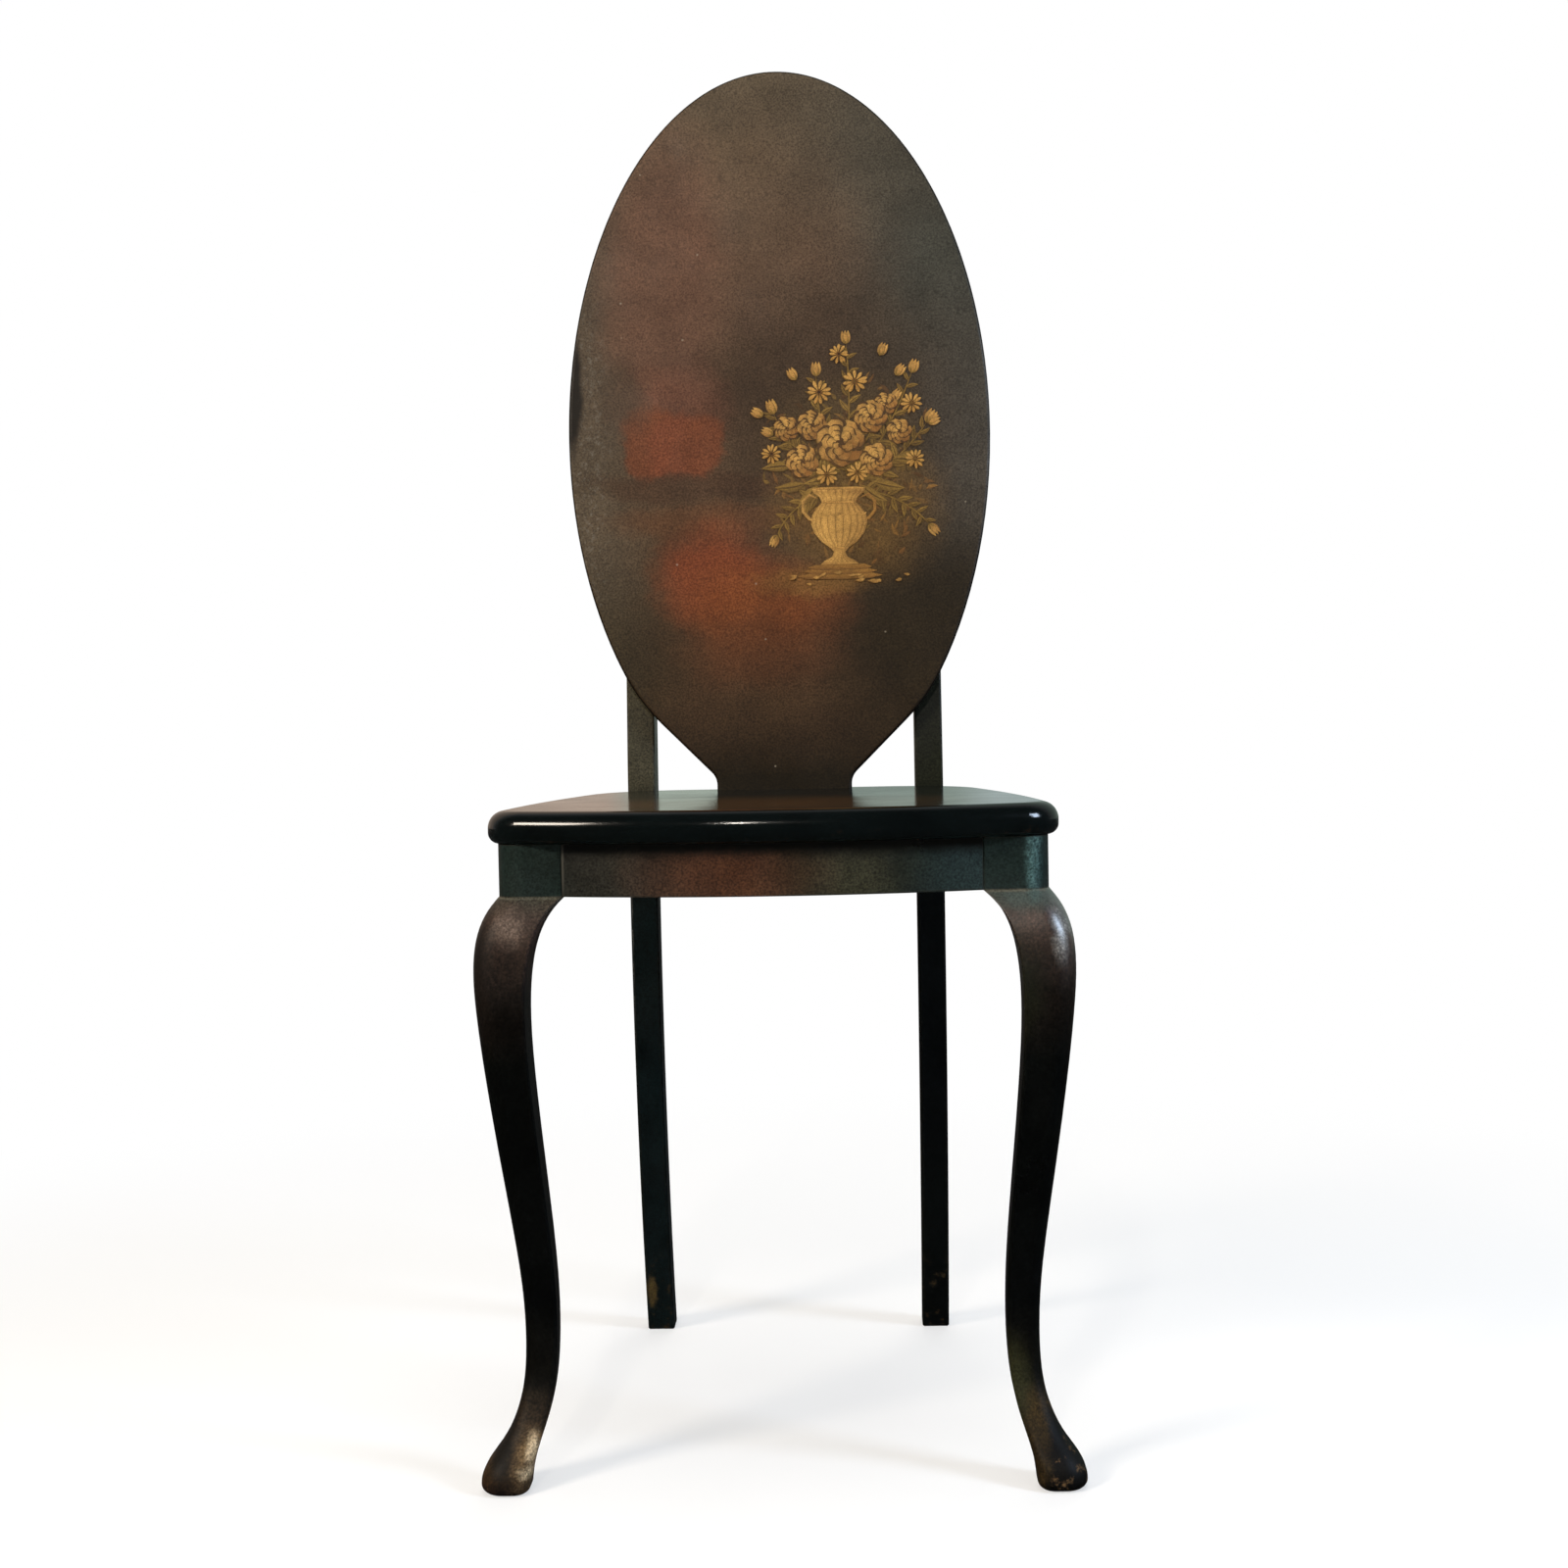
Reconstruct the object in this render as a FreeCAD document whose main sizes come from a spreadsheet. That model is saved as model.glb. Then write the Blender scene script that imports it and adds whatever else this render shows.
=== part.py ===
import FreeCAD, Part
import math
import os
import re
import Sketcher

# Parlour side chair with an oval painted back, in millimetres.
# +Z is up and the front faces -Y. The origin is on the floor, in the middle of
# the chair's width and depth, and the right-hand side is the +X side.

size_groups = {
    # back_plane is the front of the rear posts, which the panel and rails meet.
    "setting out": {
        "chair_depth": 439.4,
        "seat_height": 445,
        "back_plane": 121.8,
    },
    "seat board": {
        "seat_thickness": 21.5,
        "seat_front_drop": 38.4,
        "seat_front_overhang": 12,
        "seat_side_overhang": 8.9,
        "seat_back_overhang": 15.6,
        "seat_side_radius": 1540,
        "seat_front_corner": 32,
        "seat_back_corner": 78,
        "seat_top_rounding": 11.5,
        "seat_under_rounding": 7,
        "notch_gap": 0.2,
    },
    "rails": {
        "rail_height": 34.5,
        "rail_thickness": 18,
        "front_rail_thickness": 20,
        "rail_bow": 22,
        "rail_inset": 1.7,
        "rail_arris": 1,
    },
    # leg_sway is how far the knee and the pad foot may stand out past the block.
    "front legs": {
        "block_reach": 180.1,
        "leg_block": 43.5,
        "leg_sway": 17.6,
        "foot_rounding": 6,
    },
    # The posts bend at bend_rise above the seat. post_length is from there up.
    "rear posts": {
        "post_offset": 112.4,
        "post_width": 21.5,
        "post_depth": 30,
        "post_foot_depth": 26.5,
        "post_top_depth": 16,
        "post_length": 405,
        "post_waist_drop": 15,
        "post_arris": 1.7,
        "post_foot_chamfer": 1,
        "bend_rise": 15,
        "bend_radius": 250,
        "back_lean": 5.8,
    },
    # Rises on the panel are measured up its slope, from the bend of the posts.
    "back panel": {
        "panel_thickness": 13,
        "panel_half_width": 165,
        "panel_half_height": 286.7,
        "panel_centre_rise": 265.8,
        "panel_edge": 2.5,
        "neck_half_width": 52.2,
        "neck_straight": 8.7,
        "neck_fillet": 14,
        "neck_flare": 40,
        "shoulder_fillet": 150,
    },
    "dowels": {
        "dowel_radius": 4,
        "dowel_depth": 16,
        "dowel_spacing": 20,
        "dowel_end_gap": 1,
        "dowel_chamfer": 0.8,
        "bore_gap": 0.05,
    },
    "corner blocks": {
        "corner_block_height": 26,
        "front_block_run": 37.5,
        "rear_block_run": 40,
        "block_screw_inset": 8.5,
        "block_screw_reach": 23,
    },
    "screws": {
        "screw_radius": 2,
        "screw_head_radius": 4,
        "screw_head_height": 2.4,
        "screw_head_rounding": 0.8,
        "screw_head_clearance": 0.5,
        "screw_slot": 0.9,
        "screw_point": 1.4,
        "screw_grip": 8,
        "screw_bite": 11,
        "screw_end_gap": 1,
        "lower_screw_height": 92,
        "upper_screw_height": 360,
        "panel_screw_bite": 9,
        "neck_screw_offset": 32,
        "neck_screw_bite": 20,
    },
    "working values": {
        "overrun": 60,
        "edge_tolerance": 0.05,
    },
}
sizes = {name: number for group in size_groups.values() for name, number in group.items()}

doc = FreeCAD.newDocument("parlour_chair")
sheet = doc.addObject("Spreadsheet::Sheet", "Sizes")
for row, (size_name, number) in enumerate(sizes.items(), start=1):
    sheet.set(f"A{row}", size_name)
    sheet.set(f"B{row}", str(number))
    sheet.setAlias(f"B{row}", size_name)
doc.recompute()


def on_sheet(words):
    """The expression with each size in it written as a cell of the sheet."""
    return re.sub(r"[a-z_]+", lambda word: f"Sizes.{word[0]}" if word[0] in sizes else word[0], words)


def value(words):
    """The number that the expression gives now."""
    return float(sheet.evalExpression(on_sheet(words)))


# Planes, lines and slopes that several pieces share, as expressions.
front_reach = "( chair_depth / 2 )"
seat_under = "( seat_height - seat_thickness )"
rail_under = "( seat_height - seat_thickness - rail_height )"
rail_middle = "( seat_height - seat_thickness - rail_height / 2 )"
block_front = f"( {front_reach} - seat_front_overhang - rail_bow )"
block_back = f"( {block_front} - leg_block )"
block_inner = "( block_reach - leg_block )"
front_rail_back = f"( {block_front} - front_rail_thickness )"
rear_rail_back = "( back_plane + rail_thickness )"
post_inner = "( post_offset - post_width / 2 )"
bend_height = "( seat_height + bend_rise )"
side_rail_start = "( block_reach - rail_inset - rail_thickness / 2 )"
side_rail_taper = f"( ( {side_rail_start} - post_offset ) / ( back_plane + {block_back} ) )"
upper_dowel = f"( {rail_middle} + dowel_spacing / 2 )"
lower_dowel = f"( {rail_middle} - dowel_spacing / 2 )"
dowel_seat = "( dowel_depth - dowel_end_gap )"
peg_bore = "dowel_radius + bore_gap"
pilot_bore = "screw_radius + bore_gap"


def side_rail_inner(behind_block):
    """X of the side rail's inner face, so far behind the leg block."""
    return f"( {side_rail_start} - rail_thickness / 2 - {side_rail_taper} * ( {behind_block} ) )"


def new_body(label):
    body = doc.addObject("PartDesign::Body", label)
    body.Label = label
    return body


def new_sketch(body, plane, level="0", shift="0", tilt="0"):
    """A sketch on one of the body's own planes: raised along its normal by
    level, moved along its own Y by shift, then tilted about its own X."""
    sketch = body.newObject("Sketcher::SketchObject", body.Name + "_sketch")
    support = next(item for item in body.Origin.OriginFeatures if item.Role == plane)
    sketch.AttachmentSupport = [(support, "")]
    sketch.MapMode = "FlatFace"
    turn = FreeCAD.Rotation(FreeCAD.Vector(1, 0, 0), value(tilt))
    sketch.AttachmentOffset = FreeCAD.Placement(FreeCAD.Vector(), turn)
    sketch.setExpression("AttachmentOffset.Base.z", on_sheet(level))
    sketch.setExpression("AttachmentOffset.Base.y", on_sheet(shift))
    if tilt != "0":
        sketch.setExpression("AttachmentOffset.Rotation.Angle", on_sheet(tilt))
    return sketch


def drive(sketch, kind, where, words):
    """Add a driving dimension that follows the sheet."""
    index = sketch.addConstraint(Sketcher.Constraint(kind, *where, value(words)))
    sketch.setExpression(f"Constraints[{index}]", on_sheet(words))


def place(sketch, point, x, y):
    """Fix a point of the sketch by its distances from the origin."""
    drive(sketch, "DistanceX", (-1, 1, *point), x)
    drive(sketch, "DistanceY", (-1, 1, *point), y)


def arc_between(start, end, radius):
    """The short arc from start round to end, which turns to the left."""
    chord = end - start
    inward = FreeCAD.Vector(-chord.y, chord.x, 0).normalize()
    centre = (start + end) / 2 + inward * math.sqrt(radius ** 2 - chord.Length ** 2 / 4)
    angles = [math.atan2(point.y - centre.y, point.x - centre.x) for point in (start, end)]
    return Part.ArcOfCircle(Part.Circle(centre, FreeCAD.Vector(0, 0, 1), radius), *angles)


def outline(sketch, corners, rounds=(), hollows=()):
    """Draw a closed outline through corners, each a pair of expressions.
    rounds and hollows give the arcs, as pairs of an edge's number and its
    radius. Going round, the way turns left on a round and right on a hollow."""
    points = [FreeCAD.Vector(value(x), value(y), 0) for x, y in corners]
    arcs = dict(rounds) | dict(hollows)
    ends = []
    for edge, start in enumerate(points):
        end = points[(edge + 1) % len(points)]
        if edge not in arcs:
            drawn = sketch.addGeometry(Part.LineSegment(start, end))
            ends.append(((drawn, 1), (drawn, 2)))
        elif edge in dict(hollows):
            drawn = sketch.addGeometry(arc_between(end, start, value(arcs[edge])))
            ends.append(((drawn, 2), (drawn, 1)))
        else:
            drawn = sketch.addGeometry(arc_between(start, end, value(arcs[edge])))
            ends.append(((drawn, 1), (drawn, 2)))
        if edge in arcs:
            drive(sketch, "Radius", (drawn,), arcs[edge])
    for edge, (x, y) in enumerate(corners):
        sketch.addConstraint(Sketcher.Constraint("Coincident", *ends[edge - 1][1], *ends[edge][0]))
        place(sketch, ends[edge][0], x, y)


def circles(sketch, centres, radius):
    for x, y in centres:
        middle = FreeCAD.Vector(value(x), value(y), 0)
        circle = Part.Circle(middle, FreeCAD.Vector(0, 0, 1), value(radius))
        drawn = sketch.addGeometry(circle)
        drive(sketch, "Radius", (drawn,), radius)
        place(sketch, (drawn, 3), x, y)


def pad(body, sketch, length, along=True):
    """Raise the sketch, along its normal or against it."""
    feature = body.newObject("PartDesign::Pad", body.Name + "_pad")
    feature.Profile = sketch
    feature.Reversed = not along
    feature.setExpression("Length", on_sheet(length))
    doc.recompute()


def pocket(body, sketch, length, along=True, midplane=False):
    """Cut the sketch out, along its normal or against it."""
    before = body.Shape.Volume
    feature = body.newObject("PartDesign::Pocket", body.Name + "_pocket")
    feature.Profile = sketch
    feature.Reversed = along
    feature.Midplane = midplane
    feature.setExpression("Length", on_sheet(length))
    doc.recompute()
    if not body.Shape.Volume < before:
        raise RuntimeError(f"{feature.Name} cuts nothing")


def bores(body, plane, level, centres, radius, depth, along=True, **offset):
    sketch = new_sketch(body, plane, level, **offset)
    circles(sketch, centres, radius)
    pocket(body, sketch, depth, along)


def pegs(body, plane, level, centres, radius, length, along=True):
    sketch = new_sketch(body, plane, level)
    circles(sketch, centres, radius)
    pad(body, sketch, length, along)


def soften(body, kind, chosen, words):
    """Fillet or chamfer those edges of the body's last feature that pass a test."""
    last = body.Tip
    names = [f"Edge{n}" for n, edge in enumerate(last.Shape.Edges, start=1) if chosen(edge)]
    feature = body.newObject("PartDesign::" + kind, body.Name + "_" + kind.lower())
    feature.Base = (last, names)
    feature.setExpression("Radius" if kind == "Fillet" else "Size", on_sheet(words))
    doc.recompute()


def lies_on(edge, plane, level):
    """True for an edge that lies in the plane at this level along its normal."""
    axis, turned = {"XY_Plane": ("Z", 1), "XZ_Plane": ("Y", -1), "YZ_Plane": ("X", 1)}[plane]
    ends = [getattr(edge.BoundBox, axis + side) for side in ("Min", "Max")]
    return all(abs(end * turned - value(level)) < value("edge_tolerance") for end in ends)


def is_upright(edge):
    return edge.BoundBox.DiagonalLength - edge.BoundBox.ZLength < value("edge_tolerance")


def is_level(edge):
    return edge.BoundBox.ZLength < value("edge_tolerance")


def is_round(edge):
    return edge.Curve.TypeId == "Part::GeomCircle"


def mirrored_copy(body, label):
    """The left-hand piece of a pair, from the right-hand one."""
    copy = doc.addObject("Part::Mirroring", label)
    copy.Source = body
    copy.Normal = FreeCAD.Vector(1, 0, 0)
    copy.Label = label
    return copy


def both_sides(x, y):
    """A point of a sketch and its mirror image, right and left of the middle."""
    return [(x, y), (f"- {x}", y)]


def lean_back(body):
    """Stand the body on the bend of the posts and lean it back with them. Its
    XZ plane is then the front plane of the posts above the bend."""
    turn = FreeCAD.Rotation(FreeCAD.Vector(1, 0, 0), -value("back_lean"))
    body.Placement = FreeCAD.Placement(FreeCAD.Vector(), turn)
    body.setExpression("Placement.Base.y", on_sheet("back_plane"))
    body.setExpression("Placement.Base.z", on_sheet(bend_height))
    body.setExpression("Placement.Rotation.Angle", on_sheet("- back_lean"))


# Seat board: one board with a bowed front, tapering sides and rounded corners.
# Its edge is rolled all round, and a notch in each back corner takes a post.
seat = new_body("seat_board")
seat_plan = new_sketch(seat, "XY_Plane", seat_under)
seat_front_half = "( block_reach + seat_side_overhang )"
seat_back_half = "( post_offset + post_width / 2 + seat_back_overhang )"
outline(
    seat_plan,
    [(f"- {seat_front_half}", f"seat_front_drop - {front_reach}"),
     (seat_front_half, f"seat_front_drop - {front_reach}"),
     (seat_back_half, rear_rail_back),
     (f"- {seat_back_half}", rear_rail_back)],
    rounds=[(0, f"( {seat_front_half} ^ 2 + seat_front_drop ^ 2 ) / ( 2 * seat_front_drop )"),
            (1, "seat_side_radius"),
            (3, "seat_side_radius")],
)
pad(seat, seat_plan, "seat_thickness")
soften(seat, "Fillet",
       lambda edge: is_upright(edge) and not lies_on(edge, "XZ_Plane", f"- {rear_rail_back}"),
       "seat_front_corner")
soften(seat, "Fillet",
       lambda edge: is_upright(edge) and lies_on(edge, "XZ_Plane", f"- {rear_rail_back}"),
       "seat_back_corner")
soften(seat, "Fillet", lambda edge: lies_on(edge, "XY_Plane", "seat_height"), "seat_top_rounding")
soften(seat, "Fillet", lambda edge: lies_on(edge, "XY_Plane", seat_under), "seat_under_rounding")
notches = new_sketch(seat, "XY_Plane", "seat_height")
for side in ("", "- "):
    outline(
        notches,
        [(f"{side}( {post_inner} - notch_gap )", "back_plane"),
         (f"{side}( post_offset + overrun )", "back_plane"),
         (f"{side}( post_offset + overrun )", "back_plane + overrun"),
         (f"{side}( {post_inner} - notch_gap )", "back_plane + overrun")],
    )
pocket(seat, notches, "seat_thickness", along=False)

# Front rail: sawn with a bowed face and left flat behind, between the leg blocks.
front_rail = new_body("front_rail")
front_rail_plan = new_sketch(front_rail, "XY_Plane", rail_under)
outline(
    front_rail_plan,
    [(f"- {block_inner}", f"- {block_front}"),
     (block_inner, f"- {block_front}"),
     (block_inner, f"- {front_rail_back}"),
     (f"- {block_inner}", f"- {front_rail_back}")],
    rounds=[(0, f"( {block_inner} ^ 2 + rail_bow ^ 2 ) / ( 2 * rail_bow )")],
)
pad(front_rail, front_rail_plan, "rail_height")
soften(front_rail, "Fillet", lambda edge: lies_on(edge, "XY_Plane", rail_under) and is_round(edge),
       "rail_arris")

# Side rails: straight, from the back of each leg block to the front of each post.
side_rail = new_body("side_rail_right")
side_rail_plan = new_sketch(side_rail, "XY_Plane", rail_under)
outline(
    side_rail_plan,
    [(f"{side_rail_start} - rail_thickness / 2", f"- {block_back}"),
     (f"{side_rail_start} + rail_thickness / 2", f"- {block_back}"),
     ("post_offset + rail_thickness / 2", "back_plane"),
     ("post_offset - rail_thickness / 2", "back_plane")],
)
pad(side_rail, side_rail_plan, "rail_height")

# Rear rail: between the posts, in line with their front faces.
rear_rail = new_body("rear_rail")
rear_rail_plan = new_sketch(rear_rail, "XY_Plane", rail_under)
outline(
    rear_rail_plan,
    [(f"- {post_inner}", "back_plane"),
     (post_inner, "back_plane"),
     (post_inner, rear_rail_back),
     (f"- {post_inner}", rear_rail_back)],
)
pad(rear_rail, rear_rail_plan, "rail_height")

# Cabriole front leg: a square block, and below it one S-curve that the knee, the
# ankle and the pad foot follow outwards and forwards alike. Each row is a section
# from the knee down: its height as a share of the block's foot, how far its outer
# faces stand out as a share of leg_sway, and its width as a share of leg_block.
# Then come its corner radii, as shares of that width: at the outer corner, at the
# two side corners and at the inner corner.
leg_section_shares = (
    (1.000, 0.00, 1.000, 0.41, 0.030, 0.030),
    (0.974, 0.42, 0.942, 0.42, 0.035, 0.030),
    (0.936, 0.74, 0.890, 0.42, 0.040, 0.040),
    (0.884, 0.87, 0.836, 0.42, 0.050, 0.050),
    (0.810, 0.80, 0.764, 0.41, 0.055, 0.050),
    (0.694, 0.53, 0.695, 0.40, 0.060, 0.060),
    (0.566, 0.16, 0.637, 0.38, 0.070, 0.070),
    (0.437, -0.24, 0.575, 0.37, 0.090, 0.090),
    (0.321, -0.53, 0.520, 0.37, 0.120, 0.120),
    (0.231, -0.59, 0.492, 0.38, 0.150, 0.140),
    (0.165, -0.47, 0.484, 0.40, 0.190, 0.180),
    (0.116, -0.17, 0.506, 0.42, 0.240, 0.220),
    (0.077, 0.30, 0.584, 0.44, 0.290, 0.260),
    (0.046, 0.81, 0.713, 0.45, 0.330, 0.300),
    (0.021, 1.00, 0.757, 0.46, 0.350, 0.320),
    (0.000, 0.96, 0.724, 0.46, 0.350, 0.320),
)


def leg_section(body, shares):
    """One rounded square of the leg. The body is turned a quarter turn, so the
    sketch's X runs forwards on the chair and its Y runs outwards."""
    height_share, sway_share, width_share, outer_share, side_share, inner_share = shares
    sketch = new_sketch(body, "XY_Plane", f"{rail_under} * {height_share}")
    width = f"leg_block * {width_share}"
    front = f"{block_front} + leg_sway * {sway_share}"
    outside = f"block_reach + leg_sway * {sway_share}"
    back = f"{front} - {width}"
    inside = f"{outside} - {width}"
    outer = f"{width} * {outer_share}"
    side = f"{width} * {side_share}"
    inner = f"{width} * {inner_share}"
    outline(
        sketch,
        [(f"{back} + {inner}", inside), (f"{front} - {side}", inside),
         (front, f"{inside} + {side}"), (front, f"{outside} - {outer}"),
         (f"{front} - {outer}", outside), (f"{back} + {side}", outside),
         (back, f"{outside} - {side}"), (back, f"{inside} + {inner}")],
        rounds=[(1, side), (3, outer), (5, side), (7, inner)],
    )
    return sketch


front_leg = new_body("front_leg_right")
quarter_turn = FreeCAD.Rotation(FreeCAD.Vector(1, 0, 0), FreeCAD.Vector(0, -1, 0))
front_leg.Placement = FreeCAD.Placement(FreeCAD.Vector(), quarter_turn)
leg_sections = [leg_section(front_leg, shares) for shares in leg_section_shares]
doc.recompute()
cabriole = front_leg.newObject("PartDesign::AdditiveLoft", "cabriole")
cabriole.Profile = leg_sections[0]
cabriole.Sections = leg_sections[1:]
pad(front_leg, leg_sections[0], "rail_height")
soften(front_leg, "Fillet", lambda edge: lies_on(edge, "XY_Plane", "0"), "foot_rounding")


# Rear post: one sawn piece. It leans back above the seat, stands upright at the
# rails and sweeps back to the floor. The sketch's X runs backwards on the chair.
def on_slope(rise, depth):
    """A point of the leaning part: up its slope from the bend, and in from it."""
    return (f"( back_plane + {rise} * sin( back_lean ) + {depth} * cos( back_lean ) )",
            f"( {bend_height} + {rise} * cos( back_lean ) - {depth} * sin( back_lean ) )")


bend_tangent = "( bend_radius * tan( back_lean / 2 ) )"
top_front = on_slope("post_length", "0")
top_back = on_slope("post_length", "post_top_depth")
waist_back = ("( back_plane + post_depth )", "( seat_height - post_waist_drop )")
waist_slope = f"atan( ( {top_back[0]} - {waist_back[0]} ) / ( {top_back[1]} - {waist_back[1]} ) )"
foot_sweep = f"( {front_reach} - post_foot_depth - back_plane )"
heel_sweep = f"( {front_reach} - {waist_back[0]} )"
heel_offset = f"( {heel_sweep} * cos( {waist_slope} ) + {waist_back[1]} * sin( {waist_slope} ) )"

rear_post = new_body("rear_post_right")
post_side = new_sketch(rear_post, "YZ_Plane", post_inner)
outline(
    post_side,
    [(f"{front_reach} - post_foot_depth", "0"),
     (front_reach, "0"),
     waist_back,
     top_back,
     top_front,
     on_slope(bend_tangent, "0"),
     ("back_plane", f"{bend_height} - {bend_tangent}"),
     ("back_plane", rail_under)],
    rounds=[(5, "bend_radius"),
            (7, f"( {foot_sweep} ^ 2 + {rail_under} ^ 2 ) / ( 2 * {foot_sweep} )")],
    hollows=[(1, f"( {heel_sweep} ^ 2 + {waist_back[1]} ^ 2 ) / ( 2 * {heel_offset} )")],
)
pad(rear_post, post_side, "post_width")
soften(rear_post, "Fillet",
       lambda edge: edge.BoundBox.ZLength > value("post_width")
       and edge.BoundBox.XLength < value("edge_tolerance"),
       "post_arris")
soften(rear_post, "Chamfer", lambda edge: lies_on(edge, "XY_Plane", "0"), "post_foot_chamfer")

# Back panel: a flat oval board on a flared neck, sawn from one piece and leaning
# with the posts. The neck's foot is cut level, to stand on the seat.
panel = new_body("back_panel")
lean_back(panel)
neck_foot = "( - bend_rise / cos( back_lean ) )"
neck_top = f"( {neck_foot} + neck_straight )"
oval = new_sketch(panel, "XZ_Plane")
oval_centre = FreeCAD.Vector(0, value("panel_centre_rise"), 0)
oval_top = oval_centre + FreeCAD.Vector(0, value("panel_half_height"), 0)
oval_side = oval_centre + FreeCAD.Vector(value("panel_half_width"), 0, 0)
ellipse = oval.addGeometry(Part.Ellipse(oval_top, oval_side, oval_centre))
oval.exposeInternalGeometry(ellipse)
long_axis = ellipse + 1
short_axis = ellipse + 2
oval.addConstraint(Sketcher.Constraint("PointOnObject", ellipse, 3, -2))
oval.addConstraint(Sketcher.Constraint("Vertical", long_axis))
drive(oval, "DistanceY", (-1, 1, ellipse, 3), "panel_centre_rise")
drive(oval, "Distance", (long_axis,), "panel_half_height * 2")
drive(oval, "Distance", (short_axis,), "panel_half_width * 2")
pad(panel, oval, "panel_thickness")
neck = new_sketch(panel, "XZ_Plane")
outline(
    neck,
    [("- neck_half_width", f"{neck_foot} - overrun"),
     ("neck_half_width", f"{neck_foot} - overrun"),
     ("neck_half_width", neck_top),
     ("neck_half_width + neck_flare", f"{neck_top} + neck_flare"),
     ("- neck_half_width - neck_flare", f"{neck_top} + neck_flare"),
     ("- neck_half_width", neck_top)],
)
pad(panel, neck, "panel_thickness")
shoulders = new_sketch(panel, "XZ_Plane")
for side in ("", "- "):
    outline(
        shoulders,
        [(f"{side}neck_half_width", f"{neck_foot} - overrun"),
         (f"{side}( neck_half_width + panel_half_width )", f"{neck_foot} - overrun"),
         (f"{side}( neck_half_width + panel_half_width )", f"{neck_top} + panel_half_width"),
         (f"{side}neck_half_width", neck_top)],
    )
pocket(panel, shoulders, "panel_thickness")


def goes_through(edge, low, high):
    """True for an edge through the panel's thickness, between two rises."""
    box = edge.BoundBox
    through = box.DiagonalLength - box.YLength < value("edge_tolerance")
    return through and value(low) < box.ZMin < value(high)


soften(panel, "Fillet",
       lambda edge: goes_through(edge, f"{neck_top} + neck_flare", "panel_centre_rise"),
       "shoulder_fillet")
soften(panel, "Fillet", lambda edge: goes_through(edge, neck_foot, f"{neck_top} + edge_tolerance"),
       "neck_fillet")
foot_cut = new_sketch(panel, "YZ_Plane")
outline(
    foot_cut,
    [("- overrun", f"{neck_foot} - overrun * tan( back_lean )"),
     ("- overrun", f"{neck_foot} - overrun * 2"),
     ("overrun", f"{neck_foot} - overrun * 2"),
     ("overrun", f"{neck_foot} + overrun * tan( back_lean )")],
)
pocket(panel, foot_cut, "panel_half_width * 2", midplane=True)
soften(panel, "Fillet",
       lambda edge: not is_level(edge)
       and (lies_on(edge, "XZ_Plane", "0") or lies_on(edge, "XZ_Plane", "panel_thickness")),
       "panel_edge")

# Corner blocks: sawn softwood, glued and screwed into the corners of the seat
# frame. The front one is cut round the inner corner of the leg block.
front_block = new_body("corner_block_front_right")
front_block_plan = new_sketch(front_block, "XY_Plane", seat_under)
outline(
    front_block_plan,
    [(f"{block_inner} - front_block_run", f"- {front_rail_back}"),
     (f"{block_inner} - notch_gap", f"- {front_rail_back}"),
     (f"{block_inner} - notch_gap", f"notch_gap - {block_back}"),
     (side_rail_inner("notch_gap"), f"notch_gap - {block_back}"),
     (side_rail_inner("front_block_run"), f"front_block_run - {block_back}")],
)
pad(front_block, front_block_plan, "corner_block_height", along=False)

rear_block = new_body("corner_block_rear_right")
rear_block_plan = new_sketch(rear_block, "XY_Plane", seat_under)
rear_corner = "( post_offset - rail_thickness / 2 )"
outline(
    rear_block_plan,
    [(rear_corner, "back_plane"),
     (f"{rear_corner} - rear_block_run", "back_plane"),
     (side_rail_inner(f"back_plane + {block_back} - rear_block_run"), "back_plane - rear_block_run")],
)
pad(rear_block, rear_block_plan, "corner_block_height", along=False)

# Dowels: plain beech pegs with chamfered ends, glued half in each piece. They lie
# along X where a cross rail meets a leg, and along Y at the side rails.
front_dowels = new_body("front_rail_dowels")
front_dowel_line = f"( {front_rail_back} + front_rail_thickness / 2 )"
leg_ends = [(front_dowel_line, upper_dowel), (front_dowel_line, lower_dowel)]
rail_ends = [(f"- {front_dowel_line}", upper_dowel), (f"- {front_dowel_line}", lower_dowel)]
bores(front_leg, "XZ_Plane", f"- {block_inner}", leg_ends, peg_bore, "dowel_depth", along=False)
for along, side in ((True, ""), (False, "- ")):
    bores(front_rail, "YZ_Plane", f"{side}{block_inner}", rail_ends, peg_bore, "dowel_depth",
          along=not along)
    pegs(front_dowels, "YZ_Plane", f"{side}( {block_inner} - {dowel_seat} )", rail_ends,
         "dowel_radius", f"{dowel_seat} * 2", along)

rear_dowels = new_body("rear_rail_dowels")
rear_ends = [("back_plane + rail_thickness / 2", rail_middle)]
bores(rear_post, "YZ_Plane", post_inner, rear_ends, peg_bore, "dowel_depth")
for along, side in ((True, ""), (False, "- ")):
    bores(rear_rail, "YZ_Plane", f"{side}{post_inner}", rear_ends, peg_bore, "dowel_depth",
          along=not along)
    pegs(rear_dowels, "YZ_Plane", f"{side}( {post_inner} - {dowel_seat} )", rear_ends,
         "dowel_radius", f"{dowel_seat} * 2", along)

# The side rails run at a slant, so each dowel is set where the middle of its bore
# is in the middle of the rail.
side_front_dowels = new_body("side_rail_front_dowels")
front_end_line = f"( {side_rail_start} - {side_rail_taper} * dowel_depth / 2 )"
front_ends = [(front_end_line, upper_dowel), (front_end_line, lower_dowel)]
bores(front_leg, "YZ_Plane", block_back, front_ends, peg_bore, "dowel_depth")
bores(side_rail, "XZ_Plane", block_back, front_ends, peg_bore, "dowel_depth", along=False)
pegs(side_front_dowels, "XZ_Plane", f"{block_back} - {dowel_seat}",
     both_sides(front_end_line, upper_dowel) + both_sides(front_end_line, lower_dowel),
     "dowel_radius", f"{dowel_seat} * 2")

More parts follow.
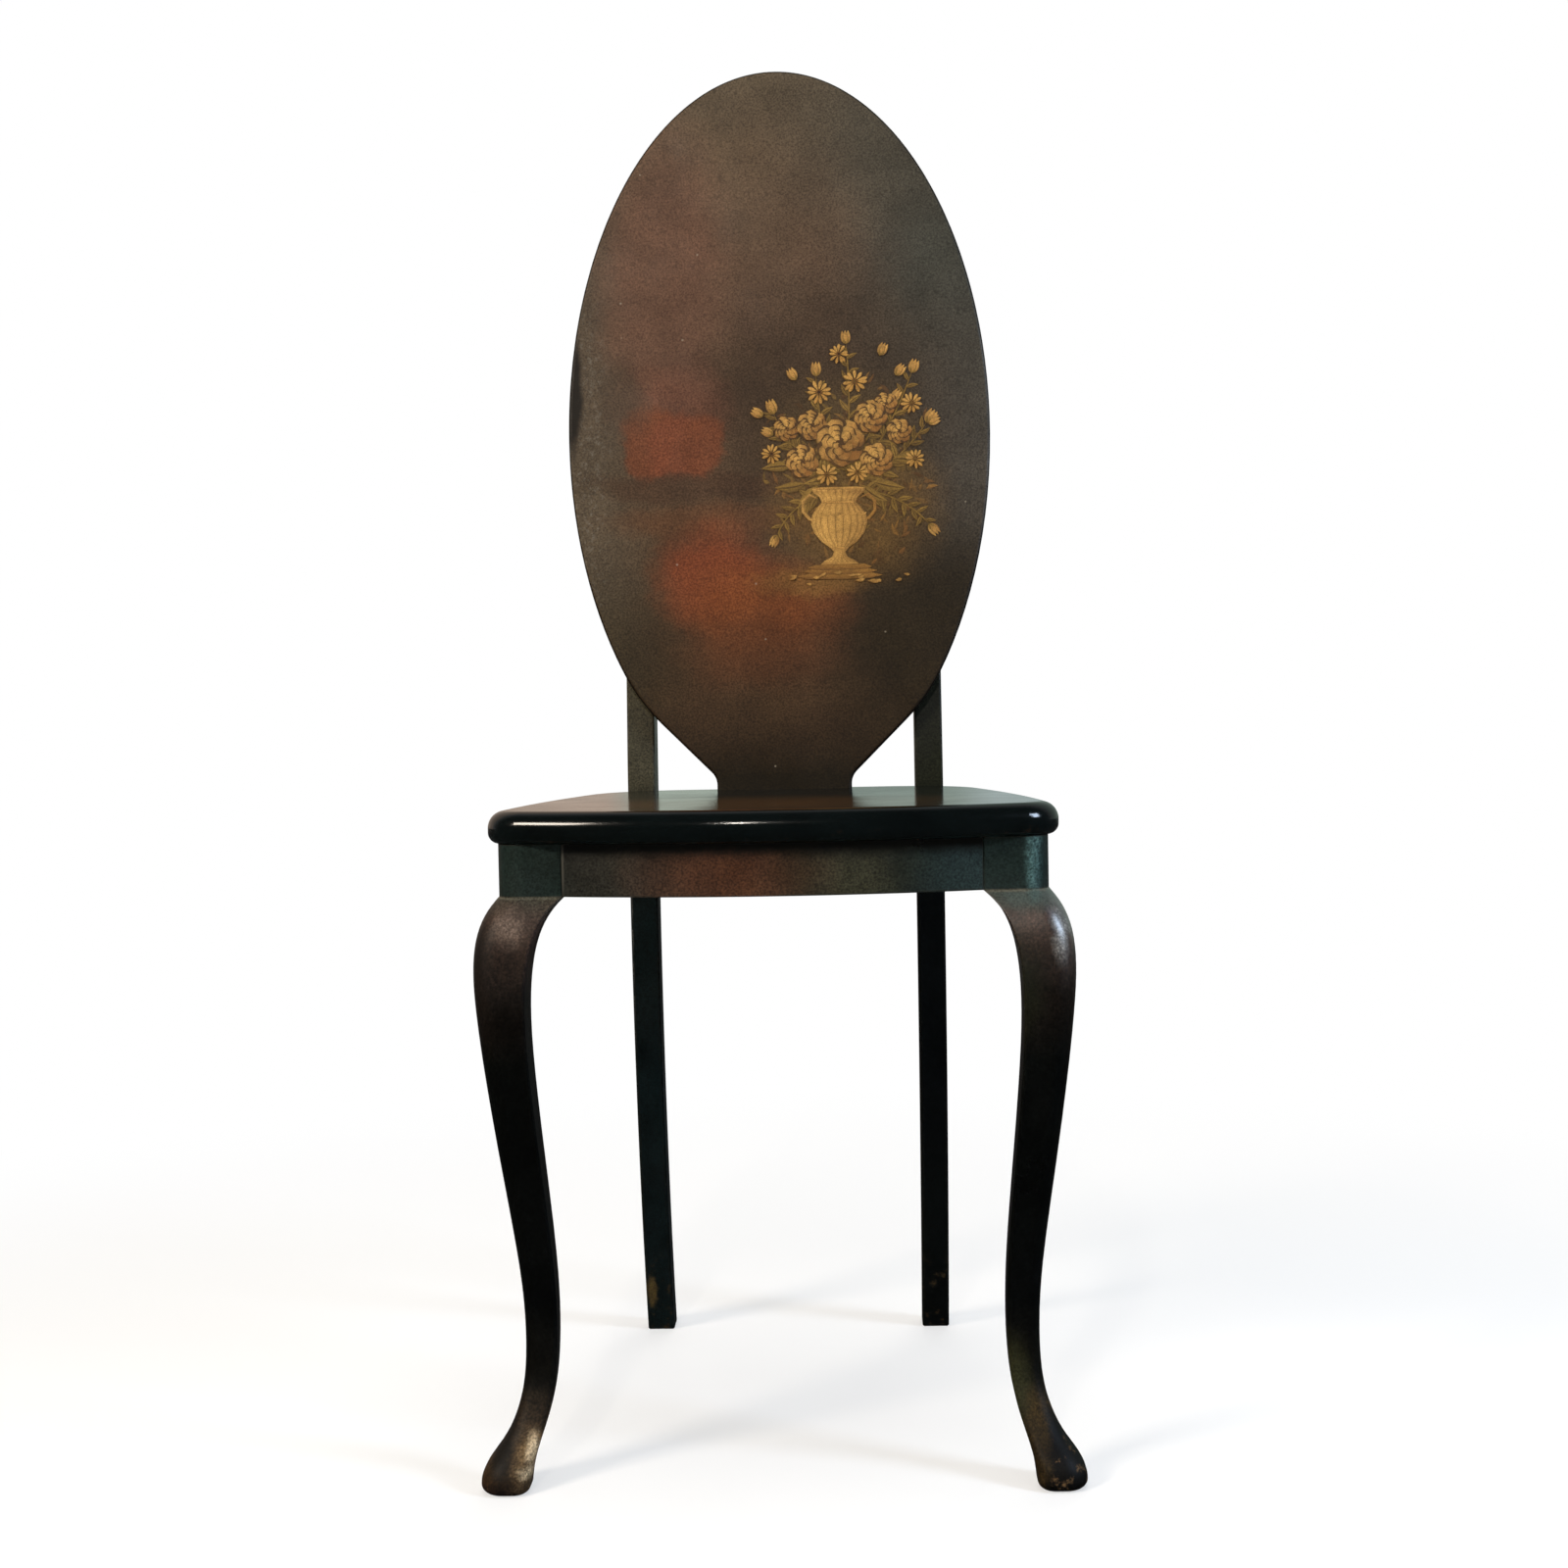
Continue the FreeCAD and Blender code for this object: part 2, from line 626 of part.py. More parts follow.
side_rear_dowels = new_body("side_rail_rear_dowels")
rear_end_line = f"( post_offset + {side_rail_taper} * dowel_depth / 2 )"
rear_side_ends = [(rear_end_line, upper_dowel), (rear_end_line, lower_dowel)]
bores(rear_post, "XZ_Plane", "- back_plane", rear_side_ends, peg_bore, "dowel_depth", along=False)
bores(side_rail, "XZ_Plane", "- back_plane", rear_side_ends, peg_bore, "dowel_depth")
pegs(side_rear_dowels, "XZ_Plane", f"- back_plane - {dowel_seat}",
     both_sides(rear_end_line, upper_dowel) + both_sides(rear_end_line, lower_dowel),
     "dowel_radius", f"{dowel_seat} * 2")

dowel_groups = [front_dowels, rear_dowels, side_front_dowels, side_rear_dowels]
for group in dowel_groups:
    soften(group, "Chamfer", is_round, "dowel_chamfer")


# Screws: steel, each with a slotted round head, a plain shank and a blunt point.
# level is the plane on which the heads seat, and along is the way the shanks go.
def screw_holes(body, plane, level, centres, along, **offset):
    """A bore for the shank ahead of each head, and a wider one behind it."""
    head_bore = "screw_head_radius + screw_head_clearance"
    bores(body, plane, level, centres, pilot_bore, "overrun", along, **offset)
    bores(body, plane, level, centres, head_bore, "overrun", not along, **offset)


def screws(body, plane, level, centres, length, along=True):
    ahead, behind = ("+", "-") if along else ("-", "+")
    head_top = f"{level} {behind} screw_head_height"
    tip = f"{level} {ahead} ( {length} )"
    pegs(body, plane, level, centres, "screw_radius", length, along)
    pegs(body, plane, level, centres, "screw_head_radius", "screw_head_height", not along)
    soften(body, "Chamfer", lambda edge: lies_on(edge, plane, tip), "screw_point")
    soften(body, "Fillet", lambda edge: lies_on(edge, plane, head_top), "screw_head_rounding")
    slots = new_sketch(body, plane, head_top)
    for x, y in centres:
        outline(
            slots,
            [(f"{x} - screw_head_radius", f"{y} - screw_slot / 2"),
             (f"{x} + screw_head_radius", f"{y} - screw_slot / 2"),
             (f"{x} + screw_head_radius", f"{y} + screw_slot / 2"),
             (f"{x} - screw_head_radius", f"{y} + screw_slot / 2")],
        )
    pocket(body, slots, "screw_head_height / 2", along)


# Panel screws: two from behind through each post, square to it, into the panel.
panel_screws = new_body("panel_screws")
lean_back(panel_screws)
post_screw_points = [("post_offset", "lower_screw_height"), ("post_offset", "upper_screw_height")]
panel_screw_points = [point for x, y in post_screw_points for point in both_sides(x, y)]
head_seat = on_slope("0", "screw_grip")
screw_holes(rear_post, "XZ_Plane", f"- {head_seat[0]}", post_screw_points, True,
            shift=head_seat[1], tilt="- back_lean")
bores(panel, "XZ_Plane", "0", panel_screw_points, pilot_bore, "panel_screw_bite + screw_end_gap")
screws(panel_screws, "XZ_Plane", "- screw_grip", panel_screw_points, "screw_grip + panel_screw_bite")

# Neck screws: up through the seat into the foot of the neck, halfway into its
# thickness. The heads lie flush under the seat.
neck_screws = new_body("neck_screws")
neck_slip = "( bend_rise - neck_screw_bite / 2 ) * tan( back_lean )"
neck_line = f"( back_plane - {neck_slip} - panel_thickness / 2 / cos( back_lean ) )"
neck_head_seat = f"( {seat_under} + screw_head_height )"
neck_screw_points = both_sides("neck_screw_offset", neck_line)
screw_holes(seat, "XY_Plane", neck_head_seat, neck_screw_points, True)
bores(panel, "XY_Plane", "- bend_rise * cos( back_lean )",
      both_sides("neck_screw_offset", f"{neck_line} - back_plane"),
      pilot_bore, "neck_screw_bite + screw_end_gap", shift="bend_rise * sin( back_lean )", tilt="back_lean")
screws(neck_screws, "XY_Plane", neck_head_seat, neck_screw_points,
       f"seat_height - {neck_head_seat} + neck_screw_bite")

# Seat screws: one up through each corner block.
seat_screws = new_body("seat_screws")
front_seat_point = (f"( {block_inner} + block_screw_inset )", f"block_screw_inset - {block_back}")
rear_seat_point = (f"( {rear_corner} - block_screw_inset )", "back_plane - block_screw_inset")
seat_screw_points = both_sides(*front_seat_point) + both_sides(*rear_seat_point)
screw_holes(front_block, "XY_Plane", f"{seat_under} - screw_grip", [front_seat_point], True)
screw_holes(rear_block, "XY_Plane", f"{seat_under} - screw_grip", [rear_seat_point], True)
bores(seat, "XY_Plane", seat_under, seat_screw_points, pilot_bore, "screw_bite + screw_end_gap")
screws(seat_screws, "XY_Plane", f"{seat_under} - screw_grip", seat_screw_points,
       "screw_grip + screw_bite")

# Corner block screws: two through each block, one square into the cross rail and
# one across the chair into the side rail, at the middle of the rails' height.
block_screws = new_body("corner_block_screws")
pilot_depth = "screw_bite + screw_end_gap"
screw_length = "screw_grip + screw_bite"
front_seat_level = f"{front_rail_back} - screw_grip"
front_point = (f"( {block_inner} - block_screw_reach )", rail_middle)
screw_holes(front_block, "XZ_Plane", front_seat_level, [front_point], True)
bores(front_rail, "XZ_Plane", front_rail_back, both_sides(*front_point), pilot_bore, pilot_depth)
screws(block_screws, "XZ_Plane", front_seat_level, both_sides(*front_point), screw_length)

rear_seat_level = "screw_grip - back_plane"
rear_point = (f"( {rear_corner} - block_screw_reach )", rail_middle)
screw_holes(rear_block, "XZ_Plane", rear_seat_level, [rear_point], False)
bores(rear_rail, "XZ_Plane", "- back_plane", both_sides(*rear_point), pilot_bore, pilot_depth,
      along=False)
screws(block_screws, "XZ_Plane", rear_seat_level, both_sides(*rear_point), screw_length, along=False)

side_points = [(front_block, f"( block_screw_reach - {block_back} )"),
               (rear_block, "( back_plane - block_screw_reach )")]
for block, screw_line in side_points:
    seat_level = f"( {side_rail_inner(screw_line + ' + ' + block_back)} - screw_grip )"
    points = [(screw_line, rail_middle)]
    screw_holes(block, "YZ_Plane", seat_level, points, True)
    bores(side_rail, "YZ_Plane", seat_level, points, pilot_bore, f"screw_grip + {pilot_depth}")
    screws(block_screws, "YZ_Plane", seat_level, points, screw_length)
    screws(block_screws, "YZ_Plane", f"- {seat_level}", points, screw_length, along=False)

right_pieces = [front_leg, rear_post, side_rail, front_block, rear_block]
left_pieces = [mirrored_copy(body, body.Label.replace("right", "left")) for body in right_pieces]
screw_groups = [panel_screws, neck_screws, seat_screws, block_screws]
pieces = [seat, panel, front_rail, rear_rail, *right_pieces, *left_pieces, *dowel_groups,
          *screw_groups]
doc.recompute()
for item in doc.Objects:
    if {"Invalid", "Error"} & set(item.State):
        raise RuntimeError(f"{item.Label} failed to build")
for piece in pieces:
    if piece.Shape.isNull() or not piece.Shape.isValid():
        raise RuntimeError(f"{piece.Label} has no valid shape")

os.makedirs("parts", exist_ok=True)
for piece in pieces:
    piece.Shape.exportStep(f"parts/{piece.Label}.step")
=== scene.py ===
import itertools
import math
import random

import bmesh
import bpy
from mathutils import Matrix, Vector


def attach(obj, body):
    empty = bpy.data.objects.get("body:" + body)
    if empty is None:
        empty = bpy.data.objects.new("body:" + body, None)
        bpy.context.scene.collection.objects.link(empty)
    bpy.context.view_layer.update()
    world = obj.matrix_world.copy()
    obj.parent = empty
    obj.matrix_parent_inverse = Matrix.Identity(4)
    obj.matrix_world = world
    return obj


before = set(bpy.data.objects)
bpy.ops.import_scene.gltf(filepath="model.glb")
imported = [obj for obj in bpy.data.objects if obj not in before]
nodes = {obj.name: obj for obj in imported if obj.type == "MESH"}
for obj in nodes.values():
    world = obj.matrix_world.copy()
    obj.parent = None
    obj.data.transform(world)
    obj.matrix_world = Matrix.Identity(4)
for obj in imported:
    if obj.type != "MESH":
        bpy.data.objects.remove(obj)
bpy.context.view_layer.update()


# Camera: held a little above the seat in front of the chair, just right of its
# middle and not quite level. Its place and turn follow from the outline of the
# chair in the photograph, and the lens is for a frame 36 mm wide.
camera = bpy.data.objects.new("camera", bpy.data.cameras.new("camera"))
bpy.context.collection.objects.link(camera)
camera.data.lens = 52.57
camera.matrix_world = (
    Matrix.Translation((0.0568, -1.6636, 0.5149))
    @ Matrix.Rotation(math.radians(1.85), 4, "Z")
    @ Matrix.Rotation(math.radians(90 - 2.13), 4, "X")
    @ Matrix.Rotation(math.radians(-1.12), 4, "Z")
)
bpy.context.scene.camera = camera
bpy.context.scene.view_settings.view_transform = "Standard"


# Back panel: one broad oval board, sawn with its neck from close-grained
# hardwood. It was painted with a misty ground of olive, brown and dull red, and
# then lacquered. The lacquer has browned, dulled and crazed with age.
def linear(hex_colour):
    """The linear colour, with alpha, of an sRGB hex value."""
    shares = [int(hex_colour[i:i + 2], 16) / 255 for i in (1, 3, 5)]
    return [s / 12.92 if s <= 0.04045 else ((s + 0.055) / 1.055) ** 2.4 for s in shares] + [1]


def add(tree, kind, inputs=None, **settings):
    """Add a node, then fill its inputs: a socket is linked, and a value is set."""
    made = tree.nodes.new(kind)
    for name, setting in settings.items():
        setattr(made, name, setting)
    for name, given in (inputs or {}).items():
        if isinstance(given, bpy.types.NodeSocket):
            tree.links.new(given, made.inputs[name])
        else:
            made.inputs[name].default_value = given
    return made


def new_material(name):
    """A material with its tree, the place on the chair, and the finish to be filled in."""
    material = bpy.data.materials.new(name)
    material.use_nodes = True
    tree = material.node_tree
    place = add(tree, "ShaderNodeTexCoord").outputs["Object"]
    return material, tree, place, tree.nodes["Principled BSDF"]


def old_lacquer(name, roughness, specular, crazing_mm=4.0, crazing_depth=0.35):
    """Lacquer that has aged: satin or gloss, finely crazed and a little uneven."""
    material, tree, place, finish = new_material(name)
    finish.inputs["Specular IOR Level"].default_value = specular
    # The brushed film lies in waves about 25 mm long, and crazes into small cells
    # whose lines wander by a few mm.
    waves = add(tree, "ShaderNodeTexNoise", {"Vector": place, "Scale": 1 / 0.025, "Detail": 3})
    wander = add(tree, "ShaderNodeVectorMath",
                 {0: waves.outputs["Color"], 1: (0.004,) * 3, 2: place}, operation="MULTIPLY_ADD")
    cells = add(tree, "ShaderNodeTexVoronoi",
                {"Vector": wander.outputs[0], "Scale": 1000 / crazing_mm, "Randomness": 1},
                feature="DISTANCE_TO_EDGE")
    cracks = add(tree, "ShaderNodeMapRange",
                 {"Value": cells.outputs["Distance"], "From Max": 0.05})
    relief = add(tree, "ShaderNodeMath",
                 {0: cracks.outputs[0], 1: crazing_depth, 2: waves.outputs[0]},
                 operation="MULTIPLY_ADD")
    bump = add(tree, "ShaderNodeBump",
               {"Height": relief.outputs[0], "Strength": 0.25, "Distance": 0.0002})
    tree.links.new(bump.outputs[0], finish.inputs["Normal"])
    # Handling and dust have dulled it in patches some 60 mm across.
    dulling = add(tree, "ShaderNodeTexNoise",
                  {"Vector": place, "Scale": 1 / 0.06, "Detail": 5, "Roughness": 0.6})
    uneven = add(tree, "ShaderNodeMapRange",
                 {"Value": dulling.outputs[0], "From Min": 0.3, "From Max": 0.7,
                  "To Min": roughness * 0.75, "To Max": roughness * 1.3})
    tree.links.new(uneven.outputs[0], finish.inputs["Roughness"])
    return material, tree, place, finish


def mixed(tree, share, under, over, blend="MIX"):
    """The colour under, with the colour over laid on it by that share."""
    # Sockets 6, 7 and 2 of this node are the ones for colours.
    made = add(tree, "ShaderNodeMix", {0: share, 6: under, 7: over},
               data_type="RGBA", blend_type=blend)
    return made.outputs[2]


def cloud(tree, place, middle, reach, softness):
    """A soft-edged patch round a point, both in mm: 1 inside it and 0 outside.
    Along an axis whose reach is 0 it has no end."""
    away = add(tree, "ShaderNodeVectorMath", {0: place, 1: [m / 1000 for m in middle]},
               operation="SUBTRACT")
    shares = [1000 / r if r else 0 for r in reach]
    scaled = add(tree, "ShaderNodeVectorMath", {0: away.outputs[0], 1: shares},
                 operation="MULTIPLY")
    length = add(tree, "ShaderNodeVectorMath", {0: scaled.outputs[0]}, operation="LENGTH")
    soft = add(tree, "ShaderNodeMapRange",
               {"Value": length.outputs["Value"], "From Min": 1 - softness,
                "From Max": 1 + softness, "To Min": 1, "To Max": 0},
               interpolation_type="SMOOTHSTEP")
    return soft.outputs[0]


def drifting(tree, place, size_mm, reach_mm):
    """The place, pushed about by noise, so that what is laid there has ragged edges."""
    noise = add(tree, "ShaderNodeTexNoise",
                {"Vector": place, "Scale": 1000 / size_mm, "Detail": 6, "Roughness": 0.65})
    centred = add(tree, "ShaderNodeVectorMath", {0: noise.outputs["Color"], 1: (0.5,) * 3},
                  operation="SUBTRACT")
    # The noise swings by half to either side, so it is doubled to reach that far.
    pushed = add(tree, "ShaderNodeVectorMath",
                 {0: centred.outputs[0], 1: (reach_mm / 500,) * 3, 2: place},
                 operation="MULTIPLY_ADD")
    return pushed.outputs[0]


def mottled(tree, place, colour, patches, grain, grain_mm=1.6):
    """The colour with soft patches some 35 mm across and a fine grain of dirt."""
    broad = add(tree, "ShaderNodeTexNoise", {"Vector": place, "Scale": 1 / 0.035, "Detail": 5})
    fine = add(tree, "ShaderNodeTexNoise",
               {"Vector": place, "Scale": 1000 / grain_mm, "Detail": 2})
    shade = add(tree, "ShaderNodeMapRange",
                {"Value": broad.outputs[0], "From Min": 0.3, "From Max": 0.7,
                 "To Min": 1 - patches, "To Max": 1 + patches})
    speck = add(tree, "ShaderNodeMapRange",
                {"Value": fine.outputs[0], "From Min": 0.3, "From Max": 0.7,
                 "To Min": 1 - grain, "To Max": 1 + grain})
    both = add(tree, "ShaderNodeMath", {0: shade.outputs[0], 1: speck.outputs[0]},
               operation="MULTIPLY")
    return mixed(tree, 1, colour, both.outputs[0], "MULTIPLY")


def patched(tree, place, under, middle, reach, softness, colour, frayed=None, dirt=None):
    """The colour under, with a cloud of another colour laid on it. frayed is the
    size and reach in mm of the noise at its edge, and dirt its patches and grain."""
    ragged = drifting(tree, place, *frayed) if frayed else place
    over = mottled(tree, place, linear(colour), *dirt) if dirt else linear(colour)
    return mixed(tree, cloud(tree, ragged, middle, reach, softness), under, over)


def by_height(tree, height, levels):
    """Colours that follow one another upwards: each level is a height in mm and a colour."""
    low, high = levels[0][0], levels[-1][0]
    share = add(tree, "ShaderNodeMapRange",
                {"Value": height, "From Min": low / 1000, "From Max": high / 1000})
    ramp = add(tree, "ShaderNodeValToRGB", {0: share.outputs[0]})
    stops = ramp.color_ramp.elements
    while len(stops) < len(levels):
        stops.new(0.5)
    for stop, (level, colour) in zip(stops, levels):
        stop.position = (level - low) / (high - low)
        stop.color = linear(colour)
    return ramp.outputs[0]


# From the neck to the top of the oval, in mm above the floor.
ground_by_height = [(455, "#1a140a"), (520, "#3e2c1b"), (590, "#3b2b1b"), (700, "#443424"),
                    (780, "#443425"), (860, "#4d3b2c"), (950, "#4e3f2f"), (1005, "#493e2f")]
# Each cloud's middle (x, z), its half width and half height in mm, how soft its
# edge is, how strongly it covers, and its colour.
ground_and_sheen_clouds = [
    # The first two clouds are a painted sheen down the left side, and the third and fourth a
    # painted grey reflection down the right side and across its top.
    ((-172, 850), (60, 220), 0.6, 0.8, "#42382b"),
    ((-155, 610), (40, 110), 0.6, 0.75, "#4b4031"),
    ((150, 850), (80, 190), 0.6, 0.9, "#31322b"),
    ((95, 960), (75, 60), 0.7, 0.8, "#39342a"),
    ((150, 690), (50, 120), 0.6, 0.6, "#3f3a33"),
    ((120, 560), (80, 85), 0.6, 0.9, "#211a0e"),
    ((-150, 540), (60, 60), 0.6, 0.8, "#2d2516"),
    ((-88, 842), (46, 112), 0.45, 0.75, "#573c2d"),
    ((-30, 800), (30, 60), 0.6, 0.6, "#4a3628"),
    ((-12, 762), (50, 36), 0.5, 0.8, "#382a1c"),
    ((50, 742), (90, 100), 0.5, 0.6, "#33261a"),
    ((-80, 748), (38, 26), 0.6, 0.6, "#573425"),
    ((-103, 718), (20, 29), 0.22, 0.9, "#5f341e"),
    ((-80, 714), (22, 27), 0.2, 0.9, "#633520"),
    ((-60, 714), (17, 25), 0.25, 0.9, "#5c321d"),
    ((-122, 752), (18, 24), 0.5, 0.7, "#3d3023"),
    ((-62, 682), (82, 11), 0.35, 0.8, "#3c2a1c"),
    ((-52, 655), (70, 12), 0.6, 0.6, "#54351f"),
    ((-54, 612), (40, 34), 0.5, 0.95, "#6a351c"),
    ((-14, 588), (54, 30), 0.6, 0.85, "#673719"),
    ((-20, 552), (50, 24), 0.7, 0.6, "#53301a"),
    ((60, 662), (58, 48), 0.5, 0.6, "#5f4520"),
    ((52, 716), (52, 44), 0.6, 0.45, "#4d3c1f"),
    ((26, 604), (38, 10), 0.6, 0.6, "#6d4d24"),
]


def painted_ground_and_sheen(tree, place):
    """The panel's misty painted ground, with painted sheen down its left and right sides."""
    height = add(tree, "ShaderNodeSeparateXYZ", {0: place}).outputs["Z"]
    ground = by_height(tree, height, ground_by_height)
    broadly = drifting(tree, place, size_mm=45, reach_mm=16)
    ragged = drifting(tree, broadly, size_mm=7, reach_mm=5)
    for (x, z), (half_width, half_height), softness, cover, colour in ground_and_sheen_clouds:
        patch = cloud(tree, ragged, (x, 0, z), (half_width, 0, half_height), softness)
        strength = add(tree, "ShaderNodeMath", {0: patch, 1: cover}, operation="MULTIPLY")
        ground = mixed(tree, strength.outputs[0], ground, linear(colour))
    return mottled(tree, place, ground, patches=0.18, grain=0.42, grain_mm=1.4)


def wood_grain(tree, lengthways, pale, dark, line_mm=1.6):
    """Wood whose growth lines run along the first axis of that vector."""
    # Each cell of the noise is 160 mm long, and about three lines wide.
    across = 1000 / line_mm / 3
    sizes = (1 / 0.16, across, across)
    drawn_out = add(tree, "ShaderNodeVectorMath", {0: lengthways, 1: sizes},
                    operation="MULTIPLY")
    lines = add(tree, "ShaderNodeTexNoise",
                {"Vector": drawn_out.outputs[0], "Scale": 1, "Detail": 5, "Roughness": 0.65,
                 "Distortion": 0.4})
    share = add(tree, "ShaderNodeMapRange",
                {"Value": lines.outputs[0], "From Min": 0.34, "From Max": 0.66})
    grown = mixed(tree, share.outputs[0], linear(pale), linear(dark))
    return mottled(tree, lengthways, grown, patches=0.15, grain=0.12, grain_mm=0.8)


def facing(tree, axis, start, full):
    """How far a face looks along an axis: 0 where its normal's share is start, 1 at full."""
    normal = add(tree, "ShaderNodeNewGeometry").outputs["Normal"]
    share = add(tree, "ShaderNodeSeparateXYZ", {0: normal}).outputs[axis]
    ramp = add(tree, "ShaderNodeMapRange",
               {"Value": share, "From Min": start, "From Max": full})
    return ramp.outputs[0]


panel_lacquer, tree, place, finish = old_lacquer(
    "browned satin lacquer on painted board", roughness=0.46, specular=0.13)
# The rounded edge is nearly black where it turns to face sideways.
panel_colour = mixed(tree, facing(tree, "Y", -0.95, -0.75), painted_ground_and_sheen(tree, place),
                     linear("#140e08"))
# The film has bloomed in grey flecks along the left side.
flecks = add(tree, "ShaderNodeTexNoise",
             {"Vector": place, "Scale": 1 / 0.004, "Detail": 5, "Roughness": 0.75})
flecked = add(tree, "ShaderNodeMapRange",
              {"Value": flecks.outputs[0], "From Min": 0.52, "From Max": 0.66, "To Max": 0.26})
ragged = drifting(tree, place, size_mm=30, reach_mm=12)
left_side = cloud(tree, ragged, (-150, 0, 700), (14, 0, 125), 0.5)
bloom = add(tree, "ShaderNodeMath", {0: flecked.outputs[0], 1: left_side},
            operation="MULTIPLY")
panel_colour = mixed(tree, bloom.outputs[0], panel_colour, linear("#8c8577"))
# A dark scuff runs down over it, where the chair was lifted by that edge.
panel_colour = patched(tree, place, panel_colour, (-163, 0, 760), (9, 0, 50), 0.3, "#15100a",
                       frayed=(20, 4))
# Here and there the film is nicked.
nicks = add(tree, "ShaderNodeTexVoronoi", {"Vector": place, "Scale": 1 / 0.035})
nicked = add(tree, "ShaderNodeMapRange",
             {"Value": nicks.outputs["Distance"], "From Min": 0.03, "From Max": 0.015,
              "To Max": 0.55})
panel_colour = mixed(tree, nicked.outputs[0], panel_colour, linear("#8f8370"))
# The back was only stained and given one coat, and the board's upright grain shows.
axes = add(tree, "ShaderNodeSeparateXYZ", {0: place}).outputs
upright = add(tree, "ShaderNodeCombineXYZ", {0: axes["Z"], 1: axes["X"], 2: axes["Y"]})
plain_back = wood_grain(tree, upright.outputs[0], "#44341f", "#291e13", line_mm=3.5)
panel_colour = mixed(tree, facing(tree, "Y", 0.1, 0.4), panel_colour, plain_back)
tree.links.new(panel_colour, finish.inputs["Base Color"])
nodes["back_panel"].data.materials[0] = panel_lacquer


# Painted bouquet: an urn of flowers in gold and ochre oil colours, put on with a
# small brush right of the panel's middle, before the lacquer. Each stroke is a
# thin skin of colour that thins out at its edges, and later ones lie on top.
bouquet = bmesh.new()
paint = bouquet.verts.layers.float_color.new("paint")
hand = random.Random(7)
# The panel's back leans from the bend of the posts, and its front is 13 mm before that.
bend_y, bend_z, lean, panel_thickness = 121.8, 460, math.radians(5.8), 13
first_lift, stroke_lift = 0.02, 0.001
strokes_so_far = itertools.count(1)
cream, gold, ochre = linear("#b58946"), linear("#976b30"), linear("#7c5226")
umber, shadow = linear("#52341a"), linear("#281b0f")
leaf_gold, leaf_dark = linear("#8a6a2f"), linear("#4c3717")


def next_level():
    """How far before the panel's back the next stroke lies, just clear of the last."""
    return panel_thickness + first_lift + next(strokes_so_far) * stroke_lift


def paint_point(across, up, level, light, dark, tone, cover):
    """A point of paint, that far across, up the slope and before the panel's back,
    in mm. Its tone runs from dark at 0 to light at 1."""
    point = bouquet.verts.new((across / 1000,
                               (bend_y + up * math.sin(lean) - level * math.cos(lean)) / 1000,
                               (bend_z + up * math.cos(lean) + level * math.sin(lean)) / 1000))
    tone = min(max(tone, 0), 1)
    point[paint] = [d + (l - d) * tone for l, d in zip(light[:3], dark[:3])] + [cover]
    return point


def skin(rows):
    """Faces between the neighbouring points of neighbouring rows."""
    for row, following in zip(rows, rows[1:]):
        for s in range(len(row) - 1):
            bouquet.faces.new((row[s], following[s], following[s + 1], row[s + 1]))


def stroke(line, width, shape, light, dark, cover=1.0, lit=0.6):
    """One stroke along a line of points (across, up the slope), all in mm. It is
    light on one side and dark on the other, and shape says where it is widest."""
    level = next_level()
    rows = []
    for i, (across, up) in enumerate(line):
        before, after = line[max(i - 1, 0)], line[min(i + 1, len(line) - 1)]
        run = Vector((after[0] - before[0], after[1] - before[1])).normalized()
        t = i / (len(line) - 1)
        # A petal is widest towards its tip, a leaf towards its foot, and a band is even.
        swell = {"petal": math.sin(math.pi * t ** 1.5) ** 0.6,
                 "leaf": math.sin(math.pi * t ** 0.8),
                 "band": min(1, 7 * t, 7 * (1 - t)) ** 0.5}[shape]
        half = width / 2 * max(swell, 0.03)
        row = []
        for s in (-1, -0.5, 0, 0.5, 1):
            # Light falls from the upper left, and the paint is thin at its edges.
            facing_light = (run.y + run.x) * s / 1.4
            tone = lit + 0.35 * facing_light + 0.3 * (t - 0.5)
            thin = 1 - 0.55 * s ** 4
            row.append(paint_point(across - run.y * half * s, up + run.x * half * s, level,
                                   light, dark, tone, cover * thin))
        rows.append(row)
    skin(rows)


def sweep_line(across, up, heading, length, bend=0.0, steps=7):
    """Points along a curved line that starts there on a heading, in degrees, and
    turns by bend degrees on the way."""
    points = [(across, up)]
    for i in range(steps):
        angle = math.radians(heading + bend * (i + 0.5) / steps)
        across += length / steps * math.cos(angle)
        up += length / steps * math.sin(angle)
        points.append((across, up))
    return points


def level_line(middle, up, half, steps, wobble=0.0):
    """Points along a level line, to both sides of its middle."""
    return [(middle + half * (2 * i / steps - 1),
             up + (hand.uniform(-wobble, wobble) if wobble else 0)) for i in range(steps + 1)]


def ring_point(across, up, away, angle):
    """The point that far away from another, in the direction of the angle."""
    return (across + away * math.cos(math.radians(angle)),
            up + away * math.sin(math.radians(angle)))


def leaf(across, up, heading, length):
    """A curved leaf with a dark midrib."""
    line = sweep_line(across, up, heading, length, hand.uniform(-35, 35))
    stroke(line, length * 0.36, "leaf", leaf_gold, leaf_dark, 0.9, hand.uniform(0.35, 0.7))
    stroke(line, length * 0.05, "leaf", leaf_dark, shadow, 0.6)


